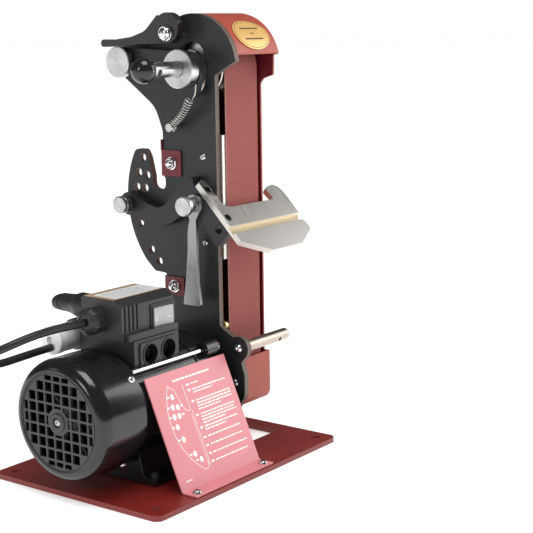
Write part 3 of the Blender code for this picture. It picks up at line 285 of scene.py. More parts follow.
def finish(name, colour, rough, metal=0, vary=0.10, grain=180, rough_vary=0.05, bump=0.04,
           bump_scale=1400, stretch=(1, 1, 1), speck=None, coat=0, turned_about=None,
           anisotropic=0, specular=0.5):
    """A procedural Principled material, in object coordinates (metres), kept by name."""
    made = bpy.data.materials.new("fin_" + name)
    made.use_nodes = True
    nodes, links = made.node_tree.nodes, made.node_tree.links
    shader = nodes["Principled BSDF"]
    for socket, value in (("Metallic", metal), ("Specular IOR Level", specular), ("Coat Weight", coat),
                          ("Coat Roughness", 0.08), ("Anisotropic", anisotropic)):
        shader.inputs[socket].default_value = value
    place = nodes.new("ShaderNodeTexCoord").outputs["Object"]
    if turned_about:
        ring, source = None, place
        for operation, value in (("SUBTRACT", (0, turned_about[0] * MM, turned_about[1] * MM)),
                                 ("MULTIPLY", (0, 1, 1)), ("LENGTH", (0, 0, 0))):
            ring = nodes.new("ShaderNodeVectorMath")
            ring.operation = operation
            ring.inputs[1].default_value = value
            links.new(source, ring.inputs[0])
            source = ring.outputs[0]
        split = nodes.new("ShaderNodeSeparateXYZ")
        links.new(place, split.inputs[0])
        join = nodes.new("ShaderNodeCombineXYZ")
        links.new(ring.outputs["Value"], join.inputs[0])
        links.new(split.outputs["X"], join.inputs[1])
        place = join.outputs[0]
    mapping = nodes.new("ShaderNodeMapping")
    mapping.inputs["Scale"].default_value = stretch
    links.new(place, mapping.inputs["Vector"])

    def noise(scale, detail=3):
        node = nodes.new("ShaderNodeTexNoise")
        node.inputs["Scale"].default_value = scale
        node.inputs["Detail"].default_value = detail
        links.new(mapping.outputs[0], node.inputs["Vector"])
        return node.outputs["Fac"]

    def spread(source, low, high, to_low, to_high):
        node = nodes.new("ShaderNodeMapRange")
        for slot, value in zip(("From Min", "From Max", "To Min", "To Max"), (low, high, to_low, to_high)):
            node.inputs[slot].default_value = value
        links.new(source, node.inputs["Value"])
        return node.outputs["Result"]

    def blend(factor, first, second):
        node = nodes.new("ShaderNodeMix")
        node.data_type = "RGBA"
        for socket, value in ((node.inputs[6], first), (node.inputs[7], second)):
            if isinstance(value, bpy.types.NodeSocket):
                links.new(value, socket)
            else:
                socket.default_value = (*value, 1)
        links.new(factor, node.inputs[0])
        return node.outputs[2]

    broad = noise(grain)
    tone = blend(spread(broad, 0.32, 0.68, 0, 1), [c * (1 - vary) for c in colour],
                 [min(c * (1 + vary), 1) for c in colour])
    if speck:
        shade, scale, low, high = speck
        tone = blend(spread(noise(scale, 2), low, high, 0, 1), tone, shade)
    links.new(tone, shader.inputs["Base Color"])
    links.new(spread(broad, 0.3, 0.7, max(rough - rough_vary, 0.02), rough + rough_vary), shader.inputs["Roughness"])
    if bump:
        relief = nodes.new("ShaderNodeBump")
        relief.inputs["Strength"].default_value = bump
        relief.inputs["Distance"].default_value = 0.0004
        links.new(noise(bump_scale), relief.inputs["Height"])
        links.new(relief.outputs[0], shader.inputs["Normal"])
    if anisotropic:
        tangent = nodes.new("ShaderNodeTangent")
        tangent.direction_type = "RADIAL"
        tangent.axis = "X"
        links.new(tangent.outputs[0], shader.inputs["Tangent"])
    FINISHES[name] = made


# name, colour, roughness, metallic, tone variation, its scale, bump, its scale, and what else differs
SURFACES = (
    ("plate_black", (0.013, 0.014, 0.016), 0.42, 0, 0.18, 60, 0.10, 1600),
    ("cut_edge", (0.135, 0.105, 0.086), 0.48, 0.25, 0.22, 240, 0.08, 1400, {"stretch": (5, 1, 1)}),
    ("cover_red", (0.36, 0.062, 0.036), 0.40, 0, 0.06, 90, 0.07, 1300),
    ("base_red", (0.19, 0.016, 0.012), 0.36, 0, 0.08, 70, 0.08, 1100),
    # the settings plate's red lightened to pink: its real red with painted glare
    ("info_red", (0.62, 0.215, 0.235), 0.34, 0, 0.04, 50, 0.03, 1800),
    ("print_white", (0.86, 0.84, 0.78), 0.5, 0, 0.05, 600, 0.05, 1400),
    ("print_dark", (0.10, 0.045, 0.02), 0.5, 0, 0.15, 600, 0.05, 1400),
    ("belt_grit", (0.30, 0.088, 0.078), 0.92, 0, 0.14, 420, 0.75, 2600,
     {"speck": ((0.44, 0.20, 0.18), 2300, 0.62, 0.74), "specular": 0.25}),
    ("belt_edge", (0.50, 0.27, 0.22), 0.9, 0, 0.25, 900, 0.3, 1400),
    ("brushed", (0.66, 0.64, 0.61), 0.30, 1, 0.05, 110, 0.05, 420, {"stretch": (1, 9, 9), "rough_vary": 0.07}),
    ("rest_face", (0.74, 0.71, 0.67), 0.36, 1, 0.05, 70, 0.06, 260, {"stretch": (9, 0.6, 0.6), "rough_vary": 0.08}),
    ("rest_groove", (0.80, 0.66, 0.44), 0.45, 1, 0.08, 70, 0.06, 260, {"stretch": (0.6, 9, 9)}),
    ("steel", (0.56, 0.55, 0.53), 0.27, 1, 0.05, 90, 0, 1400, {"rough_vary": 0.03}),
    ("chrome", (0.82, 0.82, 0.82), 0.09, 1, 0.03, 150, 0.015, 1400, {"rough_vary": 0.03}),
    ("cast", (0.36, 0.36, 0.36), 0.34, 1, 0.10, 130, 0.10, 500, {"rough_vary": 0.08}),
    ("satin_post", (0.50, 0.43, 0.36), 0.34, 1, 0.08, 180, 0.05, 1400, {"stretch": (0.4, 3, 3)}),
    ("gold", (0.80, 0.50, 0.17), 0.36, 0.35, 0.07, 120, 0.03, 1400),
    ("brass", (0.86, 0.66, 0.34), 0.25, 1, 0.05, 180, 0.04, 1400),
    ("gloss_black", (0.009, 0.009, 0.010), 0.17, 0, 0.2, 40, 0.02, 700, {"rough_vary": 0.04, "coat": 0.25}),
    ("lever_black", (0.016, 0.012, 0.011), 0.30, 0, 0.2, 60, 0.04, 900),
    ("grille_grey", (0.040, 0.038, 0.040), 0.42, 0, 0.12, 120, 0.08, 1400),
    ("fan_grey", (0.016, 0.016, 0.017), 0.28, 0, 0.2, 90, 0.05, 1400),
    # near black: painted shade for the walls and floors of the terminal box's round entries
    ("hollow", (0.004, 0.004, 0.004), 0.6, 0, 0.1, 180, 0.04, 1400),
    # a darker copy of cover_red: painted shade on the cover's tabs and the sheet's inner faces
    ("tab_red", (0.13, 0.008, 0.014), 0.40, 0, 0.06, 90, 0.07, 1300),
    ("box_grey", (0.022, 0.022, 0.024), 0.40, 0, 0.10, 90, 0.14, 1500),
    ("box_tan", (0.36, 0.25, 0.15), 0.45, 0, 0.10, 60, 0.03, 1400),
    ("label", (0.66, 0.66, 0.66), 0.5, 0, 0.05, 300, 0.02, 1400),
    ("label_print", (0.22, 0.22, 0.23), 0.55, 0, 0.1, 600, 0, 1400),
    ("switch_grey", (0.42, 0.42, 0.43), 0.35, 0, 0.04, 120, 0.06, 1500),
    ("white", (0.80, 0.80, 0.81), 0.32, 0, 0.02, 60, 0.03, 1400),
    ("cord_black", (0.017, 0.017, 0.018), 0.42, 0, 0.15, 200, 0.10, 1600),
    ("copper", (0.50, 0.22, 0.10), 0.35, 0.9, 0.1, 180, 0.04, 1400),
)


def make_finishes():
    """All the surfaces: powder coats, plastics, plated and brushed metals, grit."""
    for name, colour, rough, metal, vary, grain, bump, bump_scale, *more in SURFACES:
        finish(name, colour, rough, metal, vary, grain, bump=bump, bump_scale=bump_scale, **(more[0] if more else {}))
    for name, axis in (("turned_tracking", ARM_PIVOT), ("turned_pivot", REST_PIVOT),
                       ("turned_plunger", polar(REST_PIVOT, INDEX_RADIUS, INDEX_PIN)), ("turned_top", TOP_AXIS)):
        finish(name, (0.60, 0.60, 0.60), 0.30, metal=1, vary=0.10, grain=900, bump=0.03, bump_scale=1500,
               turned_about=axis, anisotropic=0.85, rough_vary=0.05)


# ---- meshes
YZ = Matrix(((0, 0, 1, 0), (1, 0, 0, 0), (0, 1, 0, 0), (0, 0, 0, 1)))   # local x, y, z to Y, Z, X
XZ = Matrix(((1, 0, 0, 0), (0, 0, -1, 0), (0, 1, 0, 0), (0, 0, 0, 1)))  # local x, y, z to X, Z, -Y
XY = Matrix.Identity(4)
REST_TURN = Matrix.Translation((0, *REST_PIVOT)) @ Matrix.Rotation(radians(REST_TILT), 4, "X")


def shift(x=0, y=0, z=0):
    """A move, as a matrix."""
    return Matrix.Translation((x, y, z))


def mesh_from(bm, name="piece", merge=0.003):
    """Close a bmesh into a clean mesh with outward normals."""
    bmesh.ops.remove_doubles(bm, verts=bm.verts, dist=merge)
    bmesh.ops.recalc_face_normals(bm, faces=bm.faces)
    mesh = bpy.data.meshes.new(name)
    bm.to_mesh(mesh)
    bm.free()
    return mesh


def bmesh_of(*meshes):
    """One bmesh from meshes, which it uses up."""
    bm = bmesh.new()
    for mesh in meshes:
        bm.from_mesh(mesh)
        bpy.data.meshes.remove(mesh)
    return bm


def curve_bmesh(curve):
    """A curve's surface as a bmesh; it uses the curve up."""
    holder = bpy.data.objects.new("holder", curve)
    mesh = bpy.data.meshes.new_from_object(holder)
    bpy.data.objects.remove(holder)
    bpy.data.curves.remove(curve)
    return bmesh_of(mesh)


def new_curve(name, chain, depth, ring):
    """A round cord as a curve of one open spline of straight spans."""
    curve = bpy.data.curves.new(name, "CURVE")
    curve.dimensions = "3D"
    curve.bevel_depth = depth
    curve.bevel_resolution = ring
    curve.use_fill_caps = True
    spline = curve.splines.new("POLY")
    spline.points.add(len(chain) - 1)
    for target, source in zip(spline.points, chain):
        target.co = (*source, 1)
    return curve


def bridge(bm, loops, closed=False):
    """Faces between rings of points in a row; the row closes on itself, or its ends are capped."""
    for one, two in zip(loops, loops[1:] + loops[:1] if closed else loops[1:]):
        for k in range(len(one)):
            after = (k + 1) % len(one)
            bm.faces.new((one[k], one[after], two[after], two[k]))
    if not closed:
        bm.faces.new(loops[0])
        bm.faces.new(loops[-1][::-1])


def slab(outlines, low, high, plane=YZ):
    """A flat piece: outlines (the first outside, the rest holes) extruded from low to high."""
    curve = bpy.data.curves.new("slab", "CURVE")
    curve.dimensions = "2D"
    curve.fill_mode = "BOTH"
    curve.extrude = (high - low) / 2
    for outline in outlines:
        spline = curve.splines.new("POLY")
        spline.points.add(len(outline) - 1)
        for point, (a, b) in zip(spline.points, outline):
            point.co = (a, b, 0, 1)
        spline.use_cyclic_u = True
    bm = curve_bmesh(curve)
    bmesh.ops.remove_doubles(bm, verts=bm.verts, dist=0.003)
    bmesh.ops.dissolve_limit(bm, angle_limit=radians(0.3), verts=bm.verts,
                             edges=[e for e in bm.edges if len(e.link_faces) == 2
                                    and all(abs(f.normal.z) > 0.9 for f in e.link_faces)])
    bm.transform(plane @ shift(z=(low + high) / 2))
    return mesh_from(bm)


def turned(profile, axis=(0, 0), steps=72):
    """A turned piece about a line parallel to X at (Y, Z): profile is (x, radius) pairs.

    It is laid out point by point, since bmesh's own spin gives its faces in another order each run.
    """
    bm = bmesh.new()
    loops = []
    for x, radius in profile:
        angles = turn_angles(steps) if radius > 0 else [0]
        loops.append([bm.verts.new((x, axis[0] - radius * sin(a), axis[1] + radius * cos(a))) for a in angles])
    for one, two in zip(loops, loops[1:] + loops[:1]):
        for k in range(steps if len(one) + len(two) > 2 else 0):
            after = (k + 1) % steps
            corners = [one[k % len(one)], one[after % len(one)], two[after % len(two)], two[k % len(two)]]
            bm.faces.new(list(dict.fromkeys(corners)))
    return mesh_from(bm)


def block(low, high, bevel=0, steps=3):
    """A block between two corners, its edges rounded when bevel is given."""
    bm = bmesh.new()
    bmesh.ops.create_cube(bm, size=1)
    bmesh.ops.scale(bm, vec=Vector(high) - Vector(low), verts=bm.verts)
    bmesh.ops.translate(bm, vec=(Vector(high) + Vector(low)) / 2, verts=bm.verts)
    if bevel:
        bmesh.ops.bevel(bm, geom=bm.edges, offset=bevel, segments=steps, affect="EDGES", profile=0.5)
    return mesh_from(bm, merge=0.001)


def rod(start, end, radius, steps=40, radius_end=None):
    """A plain or tapered rod between two points."""
    bm = bmesh.new()
    along = Vector(end) - Vector(start)
    bmesh.ops.create_cone(bm, cap_ends=True, segments=steps, radius1=radius,
                          radius2=radius if radius_end is None else radius_end, depth=along.length)
    turn = along.to_track_quat("Z", "Y").to_matrix().to_4x4()
    bm.transform(Matrix.Translation((Vector(start) + Vector(end)) / 2) @ turn)
    return mesh_from(bm, merge=0.001)


def ringed(rings, place=XY, steps=36):
    """A closed piece about local X from (x, radius, shape) rings; shape x is a hexagon, o a circle."""
    bm = bmesh.new()
    loops = []
    for x, radius, shape in rings:
        loop = []
        for a in turn_angles(steps):
            reach = radius
            if shape == "x":
                reach = radius / cos((a + pi / 6) % (pi / 3) - pi / 6)
            loop.append(bm.verts.new((x, reach * cos(a), reach * sin(a))))
        loops.append(loop)
    bridge(bm, loops)
    bm.transform(place)
    return mesh_from(bm, merge=0.0005)


def button_screw(radius, height, socket, place=XY, sink=1):
    """A button head with a hexagon socket, its seat at local x 0 and its top towards -x."""
    return ringed([(sink, radius * 0.5, "o"), (0, radius * 0.5, "o"), (0, radius, "o"),
                   (-height * 0.35, radius * 0.96, "o"), (-height * 0.75, radius * 0.78, "o"),
                   (-height, radius * 0.52, "o"), (-height, socket / 2 + 0.35, "o"), (-height, socket / 2, "x"),
                   (-height * 0.25, socket / 2, "x")], place)


def hex_nut(across, height, washer, place=XY, dome=0):
    """A chamfered hexagon nut on a washer, with a domed end when dome is given; top towards -x."""
    rings = [(0, washer * 0.4, "o"), (0, washer, "o"), (-0.9, washer, "o"), (-1, across / 2, "x"),
             (-height + 0.8, across / 2, "x"), (-height, across / 2 - 0.2, "o")]
    if dome:
        for k in range(7):
            a = pi / 2 * k / 6
            rings.append((-height - dome * sin(a), max((across / 2 - 0.9) * cos(a), 0.05), "o"))
    else:
        rings += [(-height, 2.6, "o"), (-height - 1.2, 2.5, "o"), (-height - 1.5, 2, "o")]
    return ringed(rings, place)


def knurled(start, stop, radius, axis, teeth=44, steps=220, rows=15, depth=0.34):
    """A band with a diamond knurl, closed by flat ends."""
    bm = bmesh.new()
    loops = []
    for j in range(rows + 1):
        x = start + (stop - start) * j / rows
        fade = min(1, j / 1, (rows - j) / 1)
        loop = []
        for a in turn_angles(steps):
            k = teeth * a / 2
            lean = x * teeth / (2 * radius)
            cut = 1 - abs(sin(k + lean)) * abs(sin(k - lean))
            reach = radius - depth * cut * fade - 0.4 * (1 - fade)
            loop.append(bm.verts.new((x, axis[0] + reach * cos(a), axis[1] + reach * sin(a))))
        loops.append(loop)
    bridge(bm, loops)
    return mesh_from(bm, merge=0.0005)


def tube(points, radius, ring=6, taper=None):
    """A closed round tube along a chain of points."""
    curve = new_curve("tube", points, radius, ring)
    for point, share in zip(curve.splines[0].points, taper or ()):
        point.radius = share
    return mesh_from(curve_bmesh(curve))


def joined(*meshes):
    """Several meshes as one, side by side."""
    bm = bmesh_of(*meshes)
    made = bpy.data.meshes.new("piece")
    bm.to_mesh(made)
    bm.free()
    return made


def combine(mesh, tool, operation):
    """Cut a tool mesh from a mesh, weld it on, or keep what they share."""
    holders = []
    for data in (mesh, tool):
        holder = bpy.data.objects.new("holder", data)
        SCENE.collection.objects.link(holder)
        holders.append(holder)
    modifier = holders[0].modifiers.new("combine", "BOOLEAN")
    modifier.operation = operation
    modifier.solver = "EXACT"
    modifier.object = holders[1]
    bpy.context.view_layer.update()
    result = bpy.data.meshes.new_from_object(holders[0].evaluated_get(bpy.context.evaluated_depsgraph_get()))
    for holder, data in zip(holders, (mesh, tool)):
        bpy.data.objects.remove(holder)
        bpy.data.meshes.remove(data)
    bm = bmesh_of(result)
    bmesh.ops.remove_doubles(bm, verts=bm.verts, dist=0.004)
    bmesh.ops.dissolve_limit(bm, angle_limit=radians(0.3), verts=bm.verts, edges=bm.edges)
    return mesh_from(bm, merge=0.0005)


def cut(mesh, *tools):
    """Cut tool meshes out of a mesh."""
    return combine(mesh, joined(*tools), "DIFFERENCE")


def weld(mesh, tool):
    """Join a shape to a mesh as one solid."""
    return combine(mesh, tool, "UNION")


def piece(name, mesh, look, node=None, body="frame", bevel=0, segments=2, sharp=34, second=None):
    """Put a mesh (millimetres) in the scene as a named piece that stands for a CAD node and rides on a body.
    """
    mesh.name = name
    mesh.materials.clear()
    mesh.materials.append(FINISHES[look])
    if second:
        mesh.materials.append(FINISHES[second[0]])
        for face in mesh.polygons:
            face.material_index = 1 if second[1](face.center, face.normal) else 0
    mesh.transform(Matrix.Scale(MM, 4))
    mesh.shade_smooth()
    mesh.set_sharp_from_angle(angle=radians(sharp))
    obj = bpy.data.objects.new(name, mesh)
    SCENE.collection.objects.link(obj)
    if bevel:
        modifier = obj.modifiers.new("bevel", "BEVEL")
        modifier.width = bevel * MM
        modifier.segments = segments
        modifier.limit_method = "ANGLE"
        modifier.angle_limit = radians(sharp)
        modifier.harden_normals = True
    if body:
        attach(obj, body)
    if node:
        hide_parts(node)
    return obj


def side(axis):
    """A test for faces square to an extrusion's axis: its cut edges."""
    return lambda centre, normal: abs(normal[axis]) < 0.5


def print_mesh(strokes, place, low=0, high=0.12):
    """Raised print: each stroke is (chain of (u, v), width), laid on a surface by place(u, v, h)."""
    bm = bmesh.new()
    for chain, width in strokes:
        left, right = [], []
        for i, point in enumerate(chain):
            here = Vector(point)
            along = Vector(chain[min(i + 1, len(chain) - 1)]) - Vector(chain[max(i - 1, 0)])
            across = Vector((-along.y, along.x)).normalized() * width / 2
            left.append(here + across)
            right.append(here - across)
        rings = [[bm.verts.new(place(p.x, p.y, h)) for p, h in
                  ((a, low), (b, low), (b, high), (a, high))] for a, b in zip(left, right)]
        bridge(bm, rings)
    bmesh.ops.recalc_face_normals(bm, faces=bm.faces)
    mesh = bpy.data.meshes.new("print")
    bm.to_mesh(mesh)
    bm.free()
    return mesh


make_finishes()


# ---- cords
def boot_bend(angle):
    """A point on the strain relief's bend, from along Y towards X and down."""
    x, y, z, r = BOOT_BEND
    a = radians(angle)
    return Vector((x + r * (1 - cos(a)), y + r * sin(a), z - 7 * (angle / 62) ** 1.6))


def lead_points():
    """Route of the motor lead: out of the gland, round, and back to the capacitor."""
    y, z = GLAND
    cy, cz, _ = CAPACITOR
    return [(-110.7, y, z), (-124, y + 0.3, z + 0.3), (-142, y + 1.2, z + 0.6), (-160, y + 3, z - 0.2),
            (-178, y + 6, z - 2.8), (-194, y + 12, z - 7.5), (-205, y + 22, z - 13), (-207.7, y + 32, z - 18.5),
            (-204, y + 41, z - 23), (-190, y + 48, z - 27), (-170, cy - 2.5, cz - 7.6),
            (-145, cy - 2, cz - 7.4), (-122, cy - 2, cz - 6.5), (-103.3, cy - 2, cz - 6)]


def mains_points():
    """Route of the mains cord: out of the boot, down behind the motor, to the coil."""
    tip = boot_bend(62)
    ahead = (tip - boot_bend(59)).normalized()
    first, second = tip + ahead * 0.5, tip + ahead * 13
    return [tuple(first), tuple(second), (-31, 95, 144.5), (-16, 96.5, 133.5), (-4, 98, 118),
            (4, 99.5, 99), (9, 101.5, 78), (13, 106, 55), (20, 113, 33), (31, 119, 16),
            (46, 121.5, 7), (62, 119.5, 4.7), (78, 116.2, 4.2)]


def coil_points():
    """The wound length: three turns on the floor, back over them, and off to the plug."""
    x, y, ring = COIL
    pitch, entry, leave = 7.15, -100, 1870
    low, high = CORD_RADIUS + GAP, CORD_RADIUS + GAP + 7.05
    points = []
    for wound in range(0, int(leave) + 1, 10):
        if wound < 1080:
            r = ease(wound, 0, 95, ring + 15.6, ring + pitch)
            r = min(r, ease(wound, 330, 420, ring + pitch, ring)) if wound > 200 else r
            r = min(r, ease(wound, 690, 780, ring, ring - pitch)) if wound > 560 else r
        else:
            r = ease(wound, 1410, 1490, ring - pitch, ring)
            r += ease(wound, 1785, leave, 0, 15.6)
        z = ease(wound, 1040, 1110, low, high) - ease(wound, 1838, leave, 0, high - 4.8)
        a = radians(entry + wound)
        points.append(Vector((x + r * cos(a), y + r * sin(a), z)))
    return points


def cord_piece(name, chain, radius, *nodes):
    """A black cord along a chain in millimetres, riding on the frame in place of its CAD nodes."""
    curve = new_curve(name, [point * MM for point in chain], radius * MM, 5)
    curve.splines[0].use_smooth = True
    curve.materials.append(FINISHES["cord_black"])
    obj = bpy.data.objects.new(name, curve)
    SCENE.collection.objects.link(obj)
    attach(obj, "frame")
    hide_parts(*nodes)
    return obj


def make_plug():
    """Two-pin mains plug with a long tapered, ribbed tail."""
    x, y, z, heading, tilt = PLUG_TAIL
    tail = [(0, 0), (0, 4.2)]
    for i in range(7):
        at = 3 + i * 4.4
        big = 4.6 + 0.45 * i
        tail += [(at, big), (at + 2.4, big + 0.25), (at + 2.8, big - 0.9), (at + 4, big - 0.8)]
    tail += [(36, 8), (38.5, 8.6), (42, 12), (46, 16), (50, 17.6), (60, 18), (68.2, 18),
                   (69, 17.3), (69, 15.6), (69.6, 15.2), (70, 0)]
    place = shift(x, y, z) @ Matrix.Rotation(radians(heading), 4, "Z") @ Matrix.Rotation(radians(tilt), 4, "Y")
    mesh = cut(turned(tail), block((44, -30, 12.9), (80, 30, 30), 2), block((44, -30, -30), (80, 30, -12.9), 2))
    mesh.transform(place)
    plug = piece("plug", mesh, "cord_black", "mains_plug", bevel=0.4)
    pin = [(69.5, 0), (69.5, 2.4), (86.6, 2.4), (87.6, 1.8), (88, 0)]
    pins = joined(*[turned(pin, (across, 0), 32) for across in (-9.5, 9.5)])
    pins.transform(place)
    return plug, piece("plug_pins", pins, "chrome")


def make_tie():
    """A thin strap round the coil's bundle."""
    x, y, ring = COIL
    half_u, half_v = BUNDLE[0] + 0.2, BUNDLE[1] + 0.1
    bm = bmesh.new()
    at = radians(150)
    rings = []
    power = 2.6
    for a in turn_angles(40):
        u, v = cos(a), sin(a)
        scale = (abs(u) ** power + abs(v) ** power) ** (-1 / power)
        thick = 0.12 + 0.7 * max(0, v + 0.55) / 1.55
        inner = (half_u * u * scale, half_v * v * scale)
        outer = (inner[0] + thick * u, inner[1] + thick * v)
        loop = []
        for (r, h), along in ((inner, -5), (inner, 5), (outer, 5), (outer, -5)):
            reach = ring + r
            loop.append(bm.verts.new((x + reach * cos(at) - along * sin(at),
                                      y + reach * sin(at) + along * cos(at),
                                      BUNDLE[1] + GAP + h)))
        rings.append(loop)
    bridge(bm, rings, closed=True)
    return piece("cord_tie", mesh_from(bm, merge=0.0001), "cord_black", sharp=50)


def make_cords():
    """Motor lead and mains cord, each at its real length, with what is on them."""
    lead = even(smooth_path(lead_points()), 8)
    obj = cord_piece("lead", lead, LEAD_RADIUS, "motor_lead")
    x, y, z, heading, tilt = PLUG_TAIL
    a, t = radians(heading), radians(-tilt)
    tail = Vector((cos(a) * cos(t), sin(a) * cos(t), sin(t)))
    wound = coil_points()
    end = Vector((x, y, z))
    route = [Vector(p) for p in mains_points()] + wound[:-2] + [end - tail * 6, end + tail * 2]
    chain = even(smooth_path(route, 4), 3.4)
    obj = cord_piece("cord", chain, CORD_RADIUS, "mains_cord", "mains_cord_coil")
    plug, pins = make_plug()
    tie = make_tie()


make_cords()


# ---- base and side plate
def make_base():
    """Base plate with corner holes and the dust slot under the belt."""
    half_x, half_y = BASE[0] / 2, BASE[1] / 2
    outside = rectangle((-half_x, -half_y), (half_x, half_y), 8)
    x, y, r = BASE_HOLE
    holes = [circle((sx * x, sy * y), r) for sx in (-1, 1) for sy in (-1, 1)]
    left, right, front, back = BASE_SLOT
    slot = rectangle((left, front), (right, back), 4)
    piece("base", slab([outside, slot] + holes, 0, BASE[2], XY), "base_red", "base_plate", bevel=0.7,
          segments=3)


def side_plate_outline():
    """Side plate: foot, post lobe, straight front, round head, rear lobe and index quadrant."""
    low = BASE[2] + GAP
    front = between([(PLATE_REAR - 1, low), (-48.3, low, 2), (-48.3, 49, 14), (-57.4, 62, 16), (-57.4, 84, 16),
                     (-53.2, 96, 4), polar(POST, 12, 234)])
    lobe = arc(POST, 12, 234, 60)
    neck = between([lobe[-1], (-32, 127.4, 9), (PLATE_FRONT, 131, 4), (PLATE_FRONT, 377.5, 3),
                    (-52.8, 391, 1.5), polar(TOP_AXIS, HEAD_RADIUS, 170)])
    head = arc(TOP_AXIS, HEAD_RADIUS, 170, 62, 50)
    shoulder = between([head[-1], (46, 414, 30), polar(ARM_PIVOT, 20, 96)])
    rear = arc(ARM_PIVOT, 20, 96, -58, 30)
    waist = between([rear[-1], (50, 345, 30), (PLATE_REAR, 322, 20), (PLATE_REAR, 277), (39, 274, 2),
                     (39, 262.8, 7), (55.4, 262.8, 7), (55.8, 276, 10), (60.4, 295, 10), (64.4, 302.3, 4),
                     (78, 302.3, 9), polar(REST_PIVOT, QUADRANT_RADIUS, 24)])
    quadrant = arc(REST_PIVOT, QUADRANT_RADIUS, 24, -40, 40)
    heel = between([quadrant[-1], (56.2, 178.2, 6), (PLATE_REAR, 177.6, 3), (PLATE_REAR, low, 2),
                    (PLATE_REAR - 10, low)])
    return front + lobe + neck + head + shoulder + rear + waist + quadrant + heel


def make_side_plate():
    """Side plate with the axle window, index holes and the small screws seen on its face."""
    window = rectangle((-16, 358), (19, 409), 17, 12)
    holes = [window, circle(DRIVE_AXIS, 14), circle(REST_PIVOT, PIVOT_HOLE), circle(LEVER_PIVOT, 4.3),
             circle(ARM_PIVOT, PIVOT_HOLE), circle(POST, 3.3), circle(SPRING_ANCHOR, 2.8),
             circle((TAB_NUT_Y, sum(TAB_UPPER) / 2), TAB_HOLE), circle((TAB_NUT_Y, sum(TAB_LOWER) / 2), TAB_HOLE),
             circle(COVER_SCREW, COVER_SCREW_HOLE)]
    holes += [circle(polar(REST_PIVOT, INDEX_RADIUS, a), INDEX_HOLE, 36) for a in INDEX_ANGLES]
    holes += [circle(polar(REST_PIVOT, r, a), INDEX_HOLE, 36) for r, a in INNER_INDEX]
    piece("side_plate_sheet", slab([side_plate_outline()] + holes, *PLATE_X), "plate_black", "side_plate",
          bevel=0.45, second=("cut_edge", side(0)))
    low = BASE[2] + GAP
    right = PLATE_NEAR
    bend = ribbon(rounded([(14, low), (right, low, 8), (right, 40)], 8, False), 5)
    piece("foot_angle", slab([bend], -38, 44, XZ), "plate_black", "foot_bracket", bevel=0.4)
    face = PLATE_X[0] - 0.1
    for name, spot, size in (("platen_screw_upper", (-10.3, 298.2), 3.6), ("platen_screw_lower", (-11, 213.6), 3.2)):
        piece(name, button_screw(size, 1.7, 2.2, shift(face, *spot), 0), "steel")


# ---- covers
def make_back_cover():
    """Sheet cover round the belt's top, back and right side, with two tabs on the side plate."""
    left = PLATE_FAR
    turn = degrees(acos((COVER_BACK - TOP_AXIS[0]) / HEAD_RADIUS))
    hood = arc(TOP_AXIS, HEAD_RADIUS, 164, turn, 56)
    front = between([(COVER_BACK, 40), (-12.4, 40), (-12.4, 42.8, 1), (-29, 58, 3), (-29, 367, 6), (-33.3, 372, 6),
                     (-45, 375.5, 2), (-45.5, 395.6, 2), (-50.2, 395.6, 1), hood[0]], 6)
    cover = slab([[(COVER_BACK, 40)] + front + hood], left, COVER_RIGHT)
    inner = arc(TOP_AXIS, HEAD_RADIUS - SHEET, 165, turn, 56)
    cavity = [(-90, 20), (COVER_BACK - SHEET, 20), (COVER_BACK - SHEET, inner[-1][1])]
    cavity += inner[::-1][1:] + [(-90, inner[0][1])]
    cover = cut(cover, slab([cavity], left - 5, COVER_RIGHT - SHEET))
    for low, high in (TAB_UPPER, TAB_LOWER):
        face = PLATE_NEAR
        near, far = COVER_BACK - SHEET + 0.1, COVER_BACK - 0.1
        bend = rounded([(left + 3, near), (face, near), (face, 17), (face - 1.5, 17), (face - 1.5, far, 2),
                        (left + 3, far)], 4)
        tab = slab([bend], low, high, XY)
        corner = [rounded([(10, high - 5), (17, high - 5), (17, high, 5), (22, high), (22, high + 3), (10, high + 3)],
            8), rounded([(10, low - 3), (22, low - 3), (22, low), (17, low, 5), (17, low + 5), (10, low + 5)], 8)]
        for outline in corner:
            tab = cut(tab, slab([outline], 30, 47))
        cover = weld(cover, tab)
        if low == TAB_UPPER[0]:
            strip = rounded([(left + 3, near), (face - 1.5, near), (face - 1.5, far, 1.2), (left + 3, far)], 6)
            cover = weld(cover, slab([strip], high - 0.5, high + 10, XY))
        cover = cut(cover, rod((40, TAB_NUT_Y, (low + high) / 2), (50, TAB_NUT_Y, (low + high) / 2), TAB_HOLE))
    inside = SHEET + 0.05

    def shaded(centre, normal):
        """Tabs, and the sheet's inner faces, which take the darker red of painted shade."""
        return (centre.x < left - 0.3 or (normal.x < -0.9 and centre.x > COVER_RIGHT - inside)
                or (normal.y < -0.9 and centre.y > COVER_BACK - inside))

    # the tabs and the inner faces get the darker red as painted shade
    piece("back_cover_sheet", cover, "cover_red", "back_cover", bevel=0.45, second=("tab_red", shaded))
    for name, node, zone in (("nut_upper", "cover_nut_upper", TAB_UPPER), ("nut_lower", "cover_nut_lower",
            TAB_LOWER)):
        seat = PLATE_NEAR - SHEET - 0.1 + 0.5
        piece(name, hex_nut(10, 4.2, 6.3, shift(seat, TAB_NUT_Y, sum(zone) / 2), dome=3.3), "chrome", node)
    place = shift(COVER_RIGHT + 0.1, -20.5, 295) @ Matrix.Rotation(pi, 4, "Z")
    piece("cover_side_nut", hex_nut(9, 3.6, 5.6, place), "cast")


